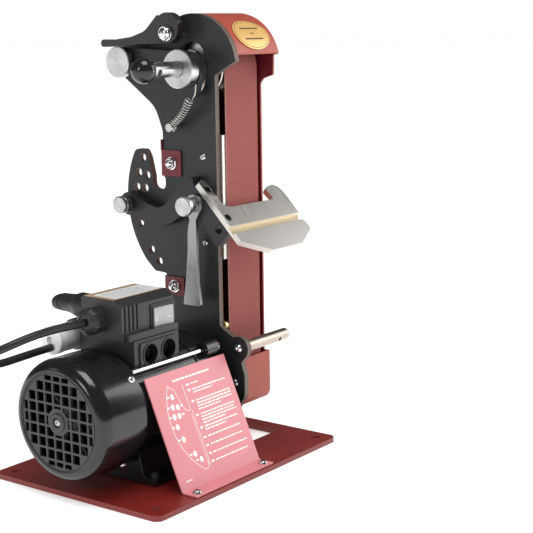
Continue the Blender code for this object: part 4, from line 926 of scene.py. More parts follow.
def make_lower_cover():
    """Front cover over the drive wheel: bent sheet, right cheek and left flange."""
    left, right = PLATE_FAR, COVER_RIGHT
    cover = slab([ribbon(rounded([(-35.4, 92.4), (-35.4, 40, 20), (-13, 40)], 14, False), SHEET)], left, right)
    cheek = [(-34.4, 92.3), (-29.3, 92.3), (-29.3, 47), (-32.2, 51.2), (-34.4, 58)]
    cover = weld(cover, slab([cheek], right - SHEET, right - 0.001))
    flange = rounded([(-53, 58, 4), (-34.5, 58), (-34.5, 92.3), (-53, 92.3, 4)], 6)
    cover = weld(cover, slab([flange, circle(COVER_SCREW, COVER_SCREW_HOLE)], left + 0.001, left + SHEET))
    piece("lower_cover_sheet", cover, "cover_red", "lower_cover", bevel=0.45)
    piece("lower_cover_bolt", button_screw(4.2, 2.4, 2.6, shift(PLATE_X[0] - 0.1, *COVER_SCREW), 8.2), "steel",
        "lower_cover_screw")


def on_hood(u, v, h):
    """A point on the hood: along X from its middle, round from the badge's middle, and proud of it."""
    middle = (PLATE_X[1] + COVER_RIGHT) / 2
    y, z = polar(TOP_AXIS, HEAD_RADIUS + h, BADGE_ANGLE - degrees(v / HEAD_RADIUS))
    return (middle + u, y, z)


def make_badge():
    """Oval badge bent to the hood, with a plain border and three plain bars for its print."""
    bm = bmesh.new()
    rings, around = 14, 72
    rims = []
    for h in (GAP, 1.1):
        layers = [[bm.verts.new(on_hood(0, 0, h))]]
        for j in range(1, rings + 1):
            share = j / rings
            layers.append([bm.verts.new(on_hood(26 * share * cos(tau * i / around),
                                                17 * share * sin(tau * i / around), h))
                           for i in range(around)])
        for i in range(around):
            k = (i + 1) % around
            bm.faces.new((layers[0][0], layers[1][i], layers[1][k]))
            for one, two in zip(layers[1:], layers[2:]):
                bm.faces.new((one[i], two[i], two[k], one[k]))
        rims.append(layers[-1])
    for i in range(around):
        k = (i + 1) % around
        bm.faces.new((rims[0][i], rims[0][k], rims[1][k], rims[1][i]))
    piece("badge_oval", mesh_from(bm, merge=0.0005), "gold", "badge", bevel=0.2, sharp=50)
    border = [(24.2 * cos(tau * i / 96), 15.2 * sin(tau * i / 96)) for i in range(97)]
    strokes = [(border, 0.5)]
    for v, half, width in ((-6, 14, 1.5), (0, 3, 1.1), (6, 14, 1.5)):
        strokes.append(([(-half + half * i / 6, v) for i in range(13)], width))
    piece("badge_print", print_mesh(strokes, lambda u, v, h: on_hood(u, v, h + 1.05)), "print_dark")


# ---- belt and wheels
def make_belt():
    """The closed abrasive belt, its platen and the platen's angle bracket."""
    piece("belt_loop", slab([belt_outline(BELT_THICK + GAP), belt_outline(GAP)], BELT_X, BELT_X + BELT_WIDTH),
          "belt_grit", "belt", bevel=0.15, segments=1,
          second=("belt_edge", lambda centre, normal: abs(normal[0]) > 0.5))
    front = TOP_AXIS[0] - TOP_RADIUS
    left = PLATE_FAR
    piece("platen_bar", slab([rounded([(front, 197, 1), (front + 5, 197), (front + 5, 320), (front, 320, 1)], 4)],
                             left, 110), "brushed", "platen", bevel=0.4)
    bend = ribbon(rounded([(left, 3), (left, front + 5 + GAP, 6.5), (102, front + 5 + GAP)], 6, False), 5)
    piece("platen_angle", slab([bend], 208, 315, XY), "plate_black", "platen_bracket", bevel=0.4)
    piece("standoff", turned([(PLATE_FAR, 0), (PLATE_FAR, 5.6), (58, 5.6), (58.6, 5), (58.6, 0)],
                             (-24.5, 129.6), 40), "brass", bevel=0.2)


def wheel_profile(left, right, radius, bore, crown=0.5):
    """A crowned belt wheel with recessed faces."""
    return [(left, radius - crown - 1), (left + 1, radius - crown), ((left + right) / 2, radius - 0.1),
            (right - 1, radius - crown), (right, radius - crown - 1), (right, radius - 6), (right - 5, radius - 8),
            (right - 5, bore), (left + 5, bore), (left + 5, radius - 8), (left, radius - 6)]


def make_wheels():
    """Drive wheel on the motor shaft, and the top wheel on two ball bearings."""
    left, right = 57.5, 109.5
    wheel = turned(wheel_profile(left, right, DRIVE_RADIUS, 7.2), DRIVE_AXIS, 96)
    holes = [rod((left - 2, *polar(DRIVE_AXIS, 16, a)), (right + 2, *polar(DRIVE_AXIS, 16, a)), 3.2)
             for a in (0, 90, 180, 270)]
    piece("drive_pulley", cut(wheel, *holes), "cast", "drive_wheel", "drive", bevel=0.3)
    crown = TOP_RADIUS - 0.3
    profile = [(left, 14), (left, crown - 1.3), (left + 1, crown - 0.4), ((left + right) / 2, crown),
               (right - 1, crown - 0.4), (right, crown - 1.3), (right, 14), (right - 10, 14), (right - 10, 9),
               (left + 10, 9), (left + 10, 14)]
    piece("idler_wheel", turned(profile, TOP_AXIS, 96), "brushed", "top_wheel", "wheel", bevel=0.3)
    for name, start in (("left", left + 1.5), ("right", right - 9.7)):
        ring = [(start, 5.3), (start, 7.6), (start + 0.4, 7.8), (start + 0.4, 11.6), (start, 11.8), (start, 13.7),
                (start + 8, 13.7), (start + 8, 11.8), (start + 7.6, 11.6), (start + 7.6, 7.8), (start + 8, 7.6),
                (start + 8, 5.3)]
        piece("idler_bearing_" + name, turned(ring, TOP_AXIS, 64), "steel", "top_wheel_bearing_" + name, "wheel",
              bevel=0.15)


# ---- head
def make_head():
    """Tension arm, axle with ball and collar, tracking knob, lift lever and spring."""
    front = between([(66, 402.9), (-19.5, 398.8, 12), (-19.5, 374, 30), (-13.5, 356.5, 5), (4, 356.5, 7),
                     (14, 371, 6), (68, 375)], 10)
    rear = arc(ARM_PIVOT, 14.2, -106, 92, 36)
    piece("tension_plate", slab([front + rear, circle(TOP_AXIS, 7.8), circle(ARM_PIVOT, PIVOT_HOLE)], *ARM_X),
        "plate_black", "tension_arm", "tension", bevel=0.45)
    spacer = [(ARM_X[1] + GAP, 7.8), (ARM_X[1] + GAP, 17), (ARM_X[1] + 1, 17.6), (PLATE_X[0] - 1, 17.6),
              (PLATE_X[0] - 0.4, 17), (PLATE_X[0] - 0.4, 7.8)]
    piece("spacer", turned(spacer, TOP_AXIS, 96), "turned_top", "spacer_ring", "tension", bevel=0.2)
    axle = turned([(-21, 0), (-21, 7.5), (55, 7.5), (57, 5), (108.1, 5), (108.1, 8), (111, 8), (112, 7), (112, 0)],
                  TOP_AXIS)
    y, z = TOP_AXIS
    hole = rod((-10, y - 20, z - 6), (-10, y + 20, z + 6), 3)
    piece("axle_bar", cut(axle, hole), "steel", "top_axle", "axle", bevel=0.3)
    ball = [(-25 - 12 * cos(a), 12 * sin(a)) for a in [radians(130 * i / 32) for i in range(33)]]
    ball += [(ball[-1][0], 8.4), (ball[-1][0] + 0.6, 7.8), (-21.4, 7.8), (-21.4, 0)]
    piece("ball", turned(ball, TOP_AXIS, 80), "gloss_black", "ball_knob", "axle")
    collar = turned([(22, 7.8), (22, 17.7), (22.8, 18.5), (33.2, 18.5), (34, 17.7), (34, 7.8)], TOP_AXIS, 96)
    spots = [(28, *polar(TOP_AXIS, 12, a)) for a in GRUB_ANGLES]
    outer = [(28, *polar(TOP_AXIS, 24, a)) for a in GRUB_ANGLES]
    collar = cut(collar, *[rod(a, b, 2.3, 32) for a, b in zip(spots, outer)])
    piece("collar", collar, "turned_top", "shaft_collar", "axle", bevel=0.25)
    for number, angle in enumerate(GRUB_ANGLES, 1):
        turn = Matrix.Rotation(radians(angle), 4, "X") @ Matrix.Rotation(radians(-90), 4, "Z")
        place = shift(28, *TOP_AXIS) @ turn @ shift(-16.4)
        grub = ringed([(4, 1.9, "o"), (0, 1.9, "o"), (-0.1, 1.8, "o"), (-0.1, 1.1, "x"), (1.4, 1, "x")], place, 30)
        piece("collar_grub_%d" % number, grub, "plate_black", body="axle")
    knob = turned([(23, 0), (23, 14.4), (23.7, 15.1), (30.4, 15.1), (31, 14.5), (31, 8), (ARM_X[0] - GAP, 8),
                   (ARM_X[0] - GAP, 5), (PLATE_X[1], 5), (PLATE_X[1], 0)], ARM_PIVOT, 96)
    y, z = ARM_PIVOT
    knob = cut(knob, block((25.8, y - 20, z - 9), (31.4, y - 12.9, z + 9)),
               block((25.8, y + 12.9, z - 9), (31.4, y + 20, z + 9)))
    piece("tracking_wheel", knob, "turned_tracking", "tracking_knob", "tracking", bevel=0.25)
    make_lever()
    make_spring()


def make_lever():
    """Cam lever: an off-centre round hub and a long handle to the rear, with its bolt."""
    hub = (LEVER_PIVOT[0], LEVER_PIVOT[1] + CAM_OFFSET)
    upper = between([hub, (28, 434), (44, 419, 20), (62, 413.5, 30), (84, 410.8), (102, 411, 3.6),
                     (102.8, 403.6, 3.6), (76, 404.2), (50, 406.6), hub], 12)
    edge = arc(hub, 14.5, -84, -312, 60)
    piece("lever", slab([upper + edge, circle(LEVER_PIVOT, 4.3)], *LEVER_X), "lever_black", "lift_lever", "lever",
        bevel=0.9, segments=4)
    seat = LEVER_X[0] - 0.2
    bolt = joined(hex_nut(12.6, 4.4, 7.4, shift(seat, *LEVER_PIVOT), dome=2.6),
                  turned([(seat + 0.01, 0), (seat + 0.01, 4), (LEVER_X[1] + 0.2, 4), (LEVER_X[1] + 0.2, 7),
                          (PLATE_X[0] - 0.2, 7), (PLATE_X[0] - 0.2, 4), (PLATE_X[1], 4), (PLATE_X[1], 0)],
                         LEVER_PIVOT, 48))
    piece("lever_pin", bolt, "chrome", "lever_bolt")


def spring_path(per=26):
    """Centre line of the tension spring: hook, bowed coil, then straight wire to the collar."""
    start, end = Vector((35.6, 16.8, 330.4)), Vector((28.9, -10.4, 355.4))
    turns = 12
    along = (end - start).normalized()
    out = Vector((1, 0, 0))
    across = along.cross(out).normalized()
    points = [Vector((37, SPRING_ANCHOR[0] - 0.2, SPRING_ANCHOR[1] + 3.5)), start - along * 1.2 + across * -2.6]
    for i in range(turns * per + 1):
        share = i / (turns * per)
        angle = tau * i / per
        centre = start.lerp(end, share) + across * -2.3 * sin(pi * share)
        points.append(centre + (out * cos(angle) + across * sin(angle)) * 4.2)
    points += [Vector((33, -13.4, 358.6)), Vector((33.1, -14.2, 362)), Vector((33.3, -14.9, 369))]
    return points


def make_spring():
    """Tension spring, stretched between the plate's pin and the arm, and that pin."""
    wire = piece("spring", tube(spring_path(), 0.75, 3), "steel", "tension_spring", None, sharp=60)
    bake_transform(wire)
    pin = [(32.4, 0), (32.4, 4), (32.8, 4.4), (34.2, 4.7), (34.6, 4.5), (34.9, 2.6), (39, 2.6), (39, 4.4),
           (PLATE_NEAR, 4.4), (PLATE_NEAR, 2.5), (PLATE_X[1], 2.5), (PLATE_X[1], 0)]
    piece("spring_pin", turned(pin, SPRING_ANCHOR, 40), "steel", "spring_anchor", bevel=0.2)


# ---- tool rest
def rest_point(along, above, fillet=0):
    """A point beside the tool rest's pivot: along the slope, and above it."""
    a = radians(REST_TILT)
    return (REST_PIVOT[0] - along * cos(a) - above * sin(a),
            REST_PIVOT[1] - along * sin(a) + above * cos(a), fillet)


def make_rest_arm():
    """S-shaped arm with its index plunger, clamp bolt and locking handle."""
    pin = polar(REST_PIVOT, INDEX_RADIUS, INDEX_PIN)
    under = REST_RISE - REST_THICK - GAP
    tail = arc(pin, 11.8, -120, 98, 30)
    top = between([tail[-1], (66, 254.2, 6), (54, 249.4, 8), (41, 245.6, 9), (31, 249, 9), (20, 259.8, 12),
                   (8.5, 271.4, 12), (-2.5, 279.8, 4), (-6.8, 277.6, 2),
                   rest_point(-REST_BACK - 4.2, under), rest_point(46.8, under), rest_point(46.8, under - 22, 3),
                   (-20.5, 229.5, 6), (-13, 237.5, 8), (9, 240.6, 10), (24, 231, 14), (38, 226.4, 14),
                   (54, 227.6, 16), tail[0]], 10)
    post = rest_point(35.4, under - 7.5)[:2]
    arm = slab([tail + top, circle(REST_PIVOT, PIVOT_HOLE), circle(pin, 5.2), circle(post, 4.4)], *REST_ARM_X)
    arm = weld(arm, slab([circle(REST_PIVOT, 9), circle(REST_PIVOT, PIVOT_HOLE)], REST_ARM_X[1] - 1, PLATE_NEAR))
    piece("rest_arm", arm, "plate_black", "tool_rest_arm", "rest", bevel=0.5)
    body = [(REST_ARM_X[0], 4.2), (REST_ARM_X[0], 4.9), (REST_ARM_X[1], 4.9), (REST_ARM_X[1], 4.2)]
    piece("plunger_bush", turned(body, pin, 40), "gloss_black", "plunger_body", "rest", bevel=0.2)
    cap = turned([(19.5, 0), (19.5, 7.8), (20.3, 8.8), (22.6, 8.8), (23, 8), (24, 8), (24, 0)], pin, 72)
    stem = turned([(30.7, 0), (30.7, 8.2), (31.3, 7.6), (31.3, 3.9), (45.4, 3.9), (PLATE_NEAR, 3.3),
                   (PLATE_NEAR, 0)], pin, 48)
    piece("plunger_cap", joined(cap, stem), "turned_plunger", "index_plunger", "plunger", bevel=0.15)
    piece("plunger_knurl", knurled(*KNURL, pin), "steel", body="plunger", sharp=80)
    knob = [(14, 0), (14, 8.8), (15, 9.8), (19, 9.8), (20, 9), (20, 7.3), (30.1, 7.3), (30.1, 4.9), (PLATE_X[1], 4.9),
            (PLATE_X[1], 0)]
    piece("pivot_wheel", turned(knob, REST_PIVOT, 80), "turned_pivot", "pivot_knob", "pivot", bevel=0.25)
    y, z = REST_PIVOT
    shaft = rounded([(y, z), (y + 8, z - 24, 60), (y + 8.4, z - 46, 60), (y + 12, z - 79, 60),
                     (y + 15.6, z - 101, 2), (y - 6.4, z - 101, 2), (y - 3.6, z - 77, 60), (y - 2.6, z - 46, 60),
                     (y - 3.2, z - 18, 30), (y, z)], 12, closed=False)
    hub = arc(REST_PIVOT, 10.2, 222, -40, 50)
    piece("handle", slab([shaft[1:-1] + hub, circle(REST_PIVOT, PIVOT_HOLE)], *HANDLE_X), "cast", "locking_handle",
        "clamp", bevel=1, segments=4)


def make_tool_rest():
    """Slotted tool rest with its cross groove and two countersunk screws."""
    left, wing, right = 34.6, 46.4, 149
    outline = rounded([(left, 0, 1), (42, -3.5, 3), (wing, 0.5, 2), (wing, 30.3, 1), (56, 34, 2), (126.5, 34, 3),
                       (124.4, 21.4, 2), (129.2, 18.1, 2), (139.4, 16.5, 4), (146.3, 21.1, 4), (right, 30, 4),
                       (right, 57), (144, 62.3, 2), (right, 68), (right, 77, 1), (120.5, 91.4, 3), (70, 91.4, 3),
                       (left, 74.4, 1)], 8)
    rest = slab([[(x, REST_BACK - s) for x, s in outline]], REST_RISE - REST_THICK, REST_RISE, XY)
    middle = 40.9
    tools = [block((left - 5, REST_BACK - 64, REST_RISE - 3), (right + 8, REST_BACK - 56, REST_RISE + 5))]
    spots = [9.5 - REST_BACK, 45 - REST_BACK]
    tools += [rod((middle, -s, 5), (middle, -s, 30), 4.3) for s in spots]
    rest = cut(rest, *tools)
    floor = REST_RISE - 3
    rest.transform(REST_TURN)
    normal = (REST_TURN.to_3x3() @ Vector((0, 0, 1))).normalized()
    origin = REST_TURN @ Vector((0, 0, floor))

    def in_groove(centre, face_normal):
        """The groove's floor."""
        return abs((centre - origin).dot(normal)) < 0.05 and face_normal.dot(normal) > 0.9

    piece("rest_plate", rest, "rest_face", "tool_rest", "rest", bevel=0.35,
          second=("rest_groove", in_groove))
    for number, along in ((1, spots[0]), (2, spots[1])):
        place = REST_TURN @ shift(middle, -along, REST_RISE - 0.3) @ Matrix.Rotation(radians(90), 4, "Y")
        head = ringed([(5.4, 2.2, "o"), (5.2, 2.6, "o"), (1.4, 4, "o"), (0.2, 4, "o"), (0, 3.8, "o"),
                       (0, 2.2, "x"), (3, 2.1, "x")], place)
        piece("rest_screw_%d" % number, head, "plate_black", "tool_rest_screw_%d" % number, "rest")


def make_tool_post():
    """Round jig post on the side plate's lobe, and the screw that holds it."""
    left = PLATE_FAR
    post = turned([(left, 3.2), (left, 5.6), (left + 0.4, 6), (POST_END - 1, 6), (POST_END, 5), (POST_END, 0),
                   (left + 9, 0), (left + 9, 3.2)], POST, 64)
    y, z = POST
    piece("post", cut(post, rod((109.5, y - 9, z - 4), (109.5, y + 9, z + 4), 2.1, 32)), "satin_post", "tool_post",
        bevel=0.2)
    piece("post_screw", button_screw(4.6, 2.4, 2.8, shift(PLATE_X[0] - 0.1, *POST), 12), "chrome", "tool_post_screw")


# ---- settings plate
def on_info(u, v, h):
    """A point on the settings plate: from its left edge, down from its top, and proud of it."""
    down = (Vector(INFO_FOOT) - Vector(INFO_TOP)).normalized()
    out = Vector((down.y, -down.x))
    spot = Vector(INFO_TOP) + down * v + out * (1.5 + h)
    return (INFO_X[0] + u, spot.x, spot.y)


def words(row, start, stop, width, source):
    """A row of short strokes between two places, standing for a line of print."""
    strokes, at = [], start
    while at < stop - 2:
        reach = min(at + source.uniform(2.2, 6.5), stop)
        strokes.append(([(at, row), (reach, row)], width))
        at = reach + 1
    return strokes


def make_info_plate():
    """Bent settings plate leaning on the motor, its diagram, and two button screws."""
    foot_y, foot_z = INFO_FOOT
    path = rounded([(-103, foot_z), (foot_y, foot_z, 4), INFO_TOP], 8, False)
    plate = slab([ribbon(path, 1.5)], *INFO_X)
    tools = [rod((x, -96, 0), (x, -96, 9), 2.4) for x in (-76, 24)]
    # the sheet's pink is its red with painted glare
    piece("info_sheet", cut(plate, *tools), "info_red", "info_plate", bevel=0.25)
    source = random.Random(11)
    scale, middle = 0.608, (75.4, 48.5)
    strokes = words(9.9, 34.5, 88, 1.9, source)
    rim = [polar(middle, -scale * 100.5, a) for a in range(36, -57, -3)]
    rim = [(45.2, 41), (38.5, 38), (33, 20.5), (30.5, 16.6), (27.5, 15.2)] + rim + [(44.6, 96.5), (46, 92)]
    strokes += [([tuple(p)[:2] for p in smooth_path([(a, b, 0) for a, b in rim], 3)], 0.55)]
    strokes += [([(45.6, 15.6), (45.6, 40)], 0.5), ([(47.4, 41), (47.4, 96)], 0.5),
                ([(45, 44), (45, 94)], 0.4)]
    dots = []
    for radius, angle in [(INDEX_RADIUS, a) for a in INDEX_ANGLES] + list(INNER_INDEX):
        u, v = polar(middle, -scale * radius, angle)
        bm = bmesh.new()
        bridge(bm, [[bm.verts.new(on_info(u + 2.35 * cos(a), v + 2.9 * sin(a), h))
                     for a in turn_angles(28)] for h in (0, 0.1)])
        dots.append(mesh_from(bm, merge=0.0001))
        out = 1 if radius < 80 else -1
        strokes.append(([(u + out * 4, v - 0.6), (u + out * 7.2, v - 0.6)], 1.7))
    rows = [(17.2, 68, 1), (24.3, 108, 2), (38.4, 108, 4), (52, 108, 4), (61.6, 108, 2), (69.6, 106, 1),
            (77.6, 108, 1), (85.6, 108, 1), (93.3, 106, 1)]
    for row, stop, lines in rows:
        strokes.append(([(50.5, row - 1.5 * (lines - 1)), (54.2, row - 1.5 * (lines - 1))], 2))
        for k in range(lines):
            last = stop if k < lines - 1 or lines == 1 else stop - source.uniform(14, 30)
            strokes += words(row + 3 * (k - (lines - 1) / 2), 57, last, 1.35, source)
    strokes += words(101.8, 9.5, 17.5, 1.2, source)
    piece("info_print", print_mesh(strokes, on_info, 0, 0.1), "print_white")
    piece("info_dots", joined(*dots), "print_white")
    for number, x in ((1, -76), (2, 24)):
        place = shift(x, -96, foot_z + 1.6) @ Matrix.Rotation(radians(90), 4, "Y")
        piece("info_screw_%d" % number, button_screw(4.6, 2.7, 2.8, place, 3), "steel",
            "info_plate_screw_%d" % number)


# ---- motor
def make_motor():
    """Motor body, end shields, tie rod, fan cover, foot; the inside parts stay as they are."""
    body = [(BODY_X[0], 46), (BODY_X[0], BODY_RADIUS - 0.6), (BODY_X[0] + 0.8, BODY_RADIUS),
        (BODY_X[1] - 0.8, BODY_RADIUS), (BODY_X[1], BODY_RADIUS - 0.6), (BODY_X[1], 46)]
    piece("motor_shell", turned(body, DRIVE_AXIS, 128), "gloss_black", "motor_housing")
    rear = [(-103, 9), (-103, 55.2), (-102.6, 55.6), (-95.6, 55.6), (-95.2, 55.2), (-95.2, 45.5), (-90, 45.5),
            (-90, 42.5), (-97, 42.5), (-97, 20), (-86.6, 20), (-86.6, 17.5), (-98.5, 17.5), (-98.5, 9)]
    piece("shield_rear", turned(rear, DRIVE_AXIS, 120), "gloss_black", "end_shield_rear", bevel=0.2)
    end = SHIELD_END
    profile = [(1.4, 17.5), (1.4, 20), (-2, 20), (-2, 43), (-9, 43), (-9, 45.5), (-4, 45.5), (-4, 52.4), (-3.4, 53),
               (end - 4, 53), (end - 1.6, 51.6), (end, 49), (end, 36), (PLATE_NEAR, 34), (PLATE_NEAR, 9),
               (13.5, 9), (13.5, 17.5)]
    shield = turned(profile, DRIVE_AXIS, 120)
    ears = [polar(DRIVE_AXIS, TIE_ROD[0], a) for a in (45.5, 134.5, 225.5, 314.5)]
    for ear in ears:
        shield = weld(shield, slab([circle(ear, 7.5, 36)], 8, end - 0.6))
    shield = cut(shield, *[rod((0, *ear), (end + 5, *ear), 3, 28) for ear in ears])
    piece("shield_front", shield, "gloss_black", "end_shield_front", bevel=0.6, segments=3)
    hole = polar(DRIVE_AXIS, *TIE_ROD)
    bar = turned([(-93.8, 0), (-93.8, 2.2), (-93.5, 2.5), (end + 0.29, 2.5), (end + 0.29, 0)], hole, 40)
    nut = hex_nut(9, 5, 5.2, shift(end + 0.3, *hole) @ Matrix.Rotation(pi, 4, "Z"))
    piece("tie_bar", joined(bar, nut), "chrome", "tie_rod")
    make_fan_cover()
    make_foot()
    for node, look in (("stator", "copper"), ("rotor_shaft", "steel"), ("bearing_front", "steel"),
                       ("bearing_rear", "steel"), ("cooling_fan", "fan_grey")):
        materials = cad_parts[node].data.materials
        materials.clear()
        materials.append(FINISHES[look])


def make_fan_cover():
    """Domed cover over the fan: round shoulder, rim steps, a grille of square holes and its hub."""
    front, back = FAN_COVER_X
    radius = FAN_COVER_RADIUS
    outer = [(back, radius - 0.5), (back - 0.5, radius)]
    outer += [(front + 14 - 14 * sin(a), 47 + (radius - 47) * cos(a))
              for a in [radians(5 * i) for i in range(19)]]
    inner = [(front + 14 - 12.4 * sin(a), 47 + (radius - 48.6) * cos(a))
             for a in [radians(60 - 5 * i) for i in range(13)]] + [(back, radius - 1.6)]
    rim = [(GRILLE_X - 0.2, 46.7), (GRILLE_X, 46.5), (GRILLE_X, 45.9), (GRILLE_X + 0.6, 45.7), (GRILLE_X + 0.6, 45.1),
           (GRILLE_X, 44.9), (GRILLE_X, 0), (GRILLE_X + 2, 0), (GRILLE_X + 2, 50.6)]
    cover = turned(outer + rim + inner, DRIVE_AXIS, 144)
    pitch, hole = 10.6, 8.6
    grid = []
    y, z = DRIVE_AXIS
    for i in range(-4, 5):
        for j in range(-4, 5):
            if hypot(i, j) > 4.15 or (i == 0 and j == 0):
                continue
            low_a, high_a = max(i * pitch - hole / 2, -42.6), min(i * pitch + hole / 2, 42.6)
            low_b, high_b = max(j * pitch - hole / 2, -42.6), min(j * pitch + hole / 2, 42.6)
            grid.append(block((GRILLE_X - 5, y + low_a, z + low_b), (GRILLE_X + 5, y + high_a, z + high_b), 0.5, 2))
    cover = cut(cover, *grid)
    hub = turned([(GRILLE_X - 0.01, 0), (GRILLE_X - 0.01, 12.5), (GRILLE_X + 2.01, 12.5), (GRILLE_X + 2.01, 0)],
                 DRIVE_AXIS, 64)
    cover = weld(cover, hub)
    boss = turned([(GRILLE_X - 0.5, 4.6), (GRILLE_X - 1.6, 5.2), (GRILLE_X - 1.9, 6.2), (GRILLE_X - 1.9, 7.6),
                   (GRILLE_X - 1.2, 8.6), (GRILLE_X + 0.4, 9), (GRILLE_X + 0.4, 4.6)], DRIVE_AXIS, 64)
    cover = weld(cover, boss)
    piece("fan_shroud", cover, "gloss_black", "fan_cover", bevel=0.18, segments=1,
          second=("grille_grey", lambda centre, normal: centre.x < GRILLE_X + 2.5 and centre.x > GRILLE_X - 2.6
                  and hypot(centre.y - y, centre.z - z) < 46.9))
    piece("grille_screw", button_screw(3.6, 1.6, 2.4, shift(GRILLE_X - 0.1, y, z), 0), "steel")
    for number, spot in enumerate(((-44, 113), (-30, 23.4)), 1):
        out = (Vector(spot) - Vector(DRIVE_AXIS)).normalized()
        turn = Matrix.Rotation(atan2(out.y, out.x), 4, "X") @ Matrix.Rotation(radians(-90), 4, "Z")
        place = shift(-100.5, *(Vector(DRIVE_AXIS) + out * (FAN_COVER_RADIUS + 0.05))) @ turn
        piece("shroud_screw_%d" % number, button_screw(3.6, 2.2, 2.4, place, 0), "chrome")


def make_foot():
    """Cast saddle foot under the motor, with its bolts."""
    y, z = DRIVE_AXIS
    low = BASE[2] + GAP
    saddle = arc(DRIVE_AXIS, BODY_RADIUS + GAP, 228, 312, 36)
    outline = rounded([(y - 56, low), (y - 56, low + 6, 1), (y - 42, low + 6, 4), (y - 37, 31)], 5, False) + saddle
    outline += rounded([(y + 37, 31), (y + 42, low + 6, 4), (y + 56, low + 6, 1), (y + 56, low)], 5, False)
    piece("saddle_foot", slab([outline], -84, -20), "gloss_black", "motor_foot", bevel=0.6)
    for number, (x, at) in enumerate(((-77, y - 49.5), (-27, y - 49.5), (-77, y + 49.5), (-27, y + 49.5)), 1):
        place = shift(x, at, low + 6.1) @ Matrix.Rotation(radians(90), 4, "Y")
        piece("foot_nut_%d" % number, hex_nut(8, 4.4, 5.4, place), "plate_black")


# ---- electrics
def make_terminal_box():
    """Saddle box on the motor with two round entries, and the capacitor's clip."""
    under = arc(DRIVE_AXIS, BODY_RADIUS + GAP, 128.5, 51.5, 30)
    top = CONTROL_Z[0] - GAP
    box = slab([[(-32, top), (-32, 116.4)] + under + [(37, 116.4), (37, top)]], *TERMINAL_X)
    panel = rectangle((-77.5, 115.2), (-25, 138.4), 4)
    box = weld(box, slab([panel], 31, 33.6, XZ))
    for x in ENTRY_X:
        box = weld(box, slab([circle((x, ENTRY_Z), ENTRY_RADIUS + 1.1, 60)], 31, 34.4, XZ))
    box = cut(box, *[rod((x, -40, ENTRY_Z), (x, -25, ENTRY_Z), ENTRY_RADIUS, 60) for x in ENTRY_X])
    cy, cz, r = CAPACITOR
    inside = r - 0.6 + GAP
    band = arc((cy, cz), inside + 1.8, 168, -168, 60)
    strap = [(36, band[-1][1]), (36, band[0][1])]
    box = weld(box, slab([band + strap, circle((cy, cz), inside, 60)], -70, -60))

    def in_entry(centre, normal):
        """The walls and floor of the two round entries, painted near black as their shade."""
        return -33 < centre.y < -24.9 and min(hypot(centre.x - x, centre.z - ENTRY_Z) for x in ENTRY_X) < 9.6

    # the round entries are painted near black as their shade
    piece("terminal_saddle", box, "box_grey", "terminal_box", bevel=0.5, second=("hollow", in_entry))


def make_control_box():
    """Control box: body, ribbed corner, chamfered lid with its label, switch frame and ledge."""
    x0, x1 = CONTROL_X
    y0, y1 = CONTROL_Y
    z0, z1 = CONTROL_Z
    section = rounded([(y0, z0, 1), (y1, z0, 1), (y1, z1, 1.6), (y0 + 9, z1, 2), (y0, z1 - 6, 2)], 5)
    box = slab([section], x0, x1)
    ribs = [block((x0 + 3 + 5.4 * i, y0 - 2, z0 + 8.5), (x0 + 5.6 + 5.4 * i, y0 + 1.6, z1 + 4), 0.5, 2)
        for i in range(4)]
    cx, cy, cz = ROCKER
    half_w, half_h = ROCKER_HALF
    window = block((cx - half_w, cy - 5, cz - half_h), (cx + half_w, cy + 12, cz + half_h))
    box = cut(box, window, *ribs)
    for grow, proud in ((3.6, 1.2), (1.9, 2)):
        rim = rectangle((cx - half_w - grow, cz - half_h - grow), (cx + half_w + grow, cz + half_h + grow), 1.2, 4)
        opening = rectangle((cx - half_w, cz - half_h), (cx + half_w, cz + half_h))
        box = weld(box, slab([rim, opening], -cy - 0.4, -cy + proud, XZ))
    ledge = rounded([(x0 + 4, y0 - 5.5, 1.5), (x1 + 0.5, y0 - 5.5, 1.5), (x1 + 0.5, y0 + 4, 1), (x0 + 4, y0 + 4, 1)],
        4)
    box = weld(box, slab([ledge], z0 + 0.001, z0 + 6.4, XY))
    piece("control_case", box, "box_grey", "control_box", bevel=0.45)
    lid = rectangle((x0 + 1.2, y0 + 10.5), (x1 - 1.2, y1 - 1.2), 1.5, 5)
    piece("lid_panel", slab([lid], z1 + 0.02, z1 + 0.42, XY), "box_tan", bevel=0.15)
    sticker = rectangle((x0 + 6, y0 + 12), (x1 - 2, y1 - 9.5), 1, 4)
    piece("lid_label", slab([sticker], z1 + 0.45, z1 + 0.65, XY), "label")
    source = random.Random(5)
    strokes = []
    for k in range(9):
        row = y0 + 15 + 2.6 * k
        strokes += words(row, x0 + 9, x1 - 6 - (k % 3) * 6, 0.7, source)
    piece("lid_print", print_mesh(strokes, lambda u, v, h: (u, v, z1 + 0.66 + h), 0, 0.05), "label_print")
    left_face = [(cx - 12.4, cy - 0.8), (cx, cy - 0.6), (cx + 12.4, cy - 3.6), (cx + 12, cy + 4.6), (cx, cy + 7.4),
                 (cx - 12, cy + 4.6)]
    rocker = slab([left_face], cz - 10.9, cz + 10.9, XY)
    piece("rocker", rocker, "switch_grey", "rocker_switch", "rocker", bevel=0.5, sharp=25)
    ring = [(cx - 8.6 + 1.5 * cos(a), cz + 1.5 * sin(a)) for a in [tau * i / 24 for i in range(25)]]
    marks = [(ring, 0.5)]
    piece("mark_off", print_mesh(marks, lambda u, v, h: (u, cy - 0.76 - h, v), 0, 0.1), "print_white", body="rocker")
    bar = [([(cx + 5, cz), (cx + 8.6, cz)], 0.6)]
    piece("mark_on", print_mesh(bar, lambda u, v, h: (u, cy - 0.6 - 3 * (u - cx) / 12.4 - h - 0.02, v), 0, 0.1),
          "print_white", body="rocker")


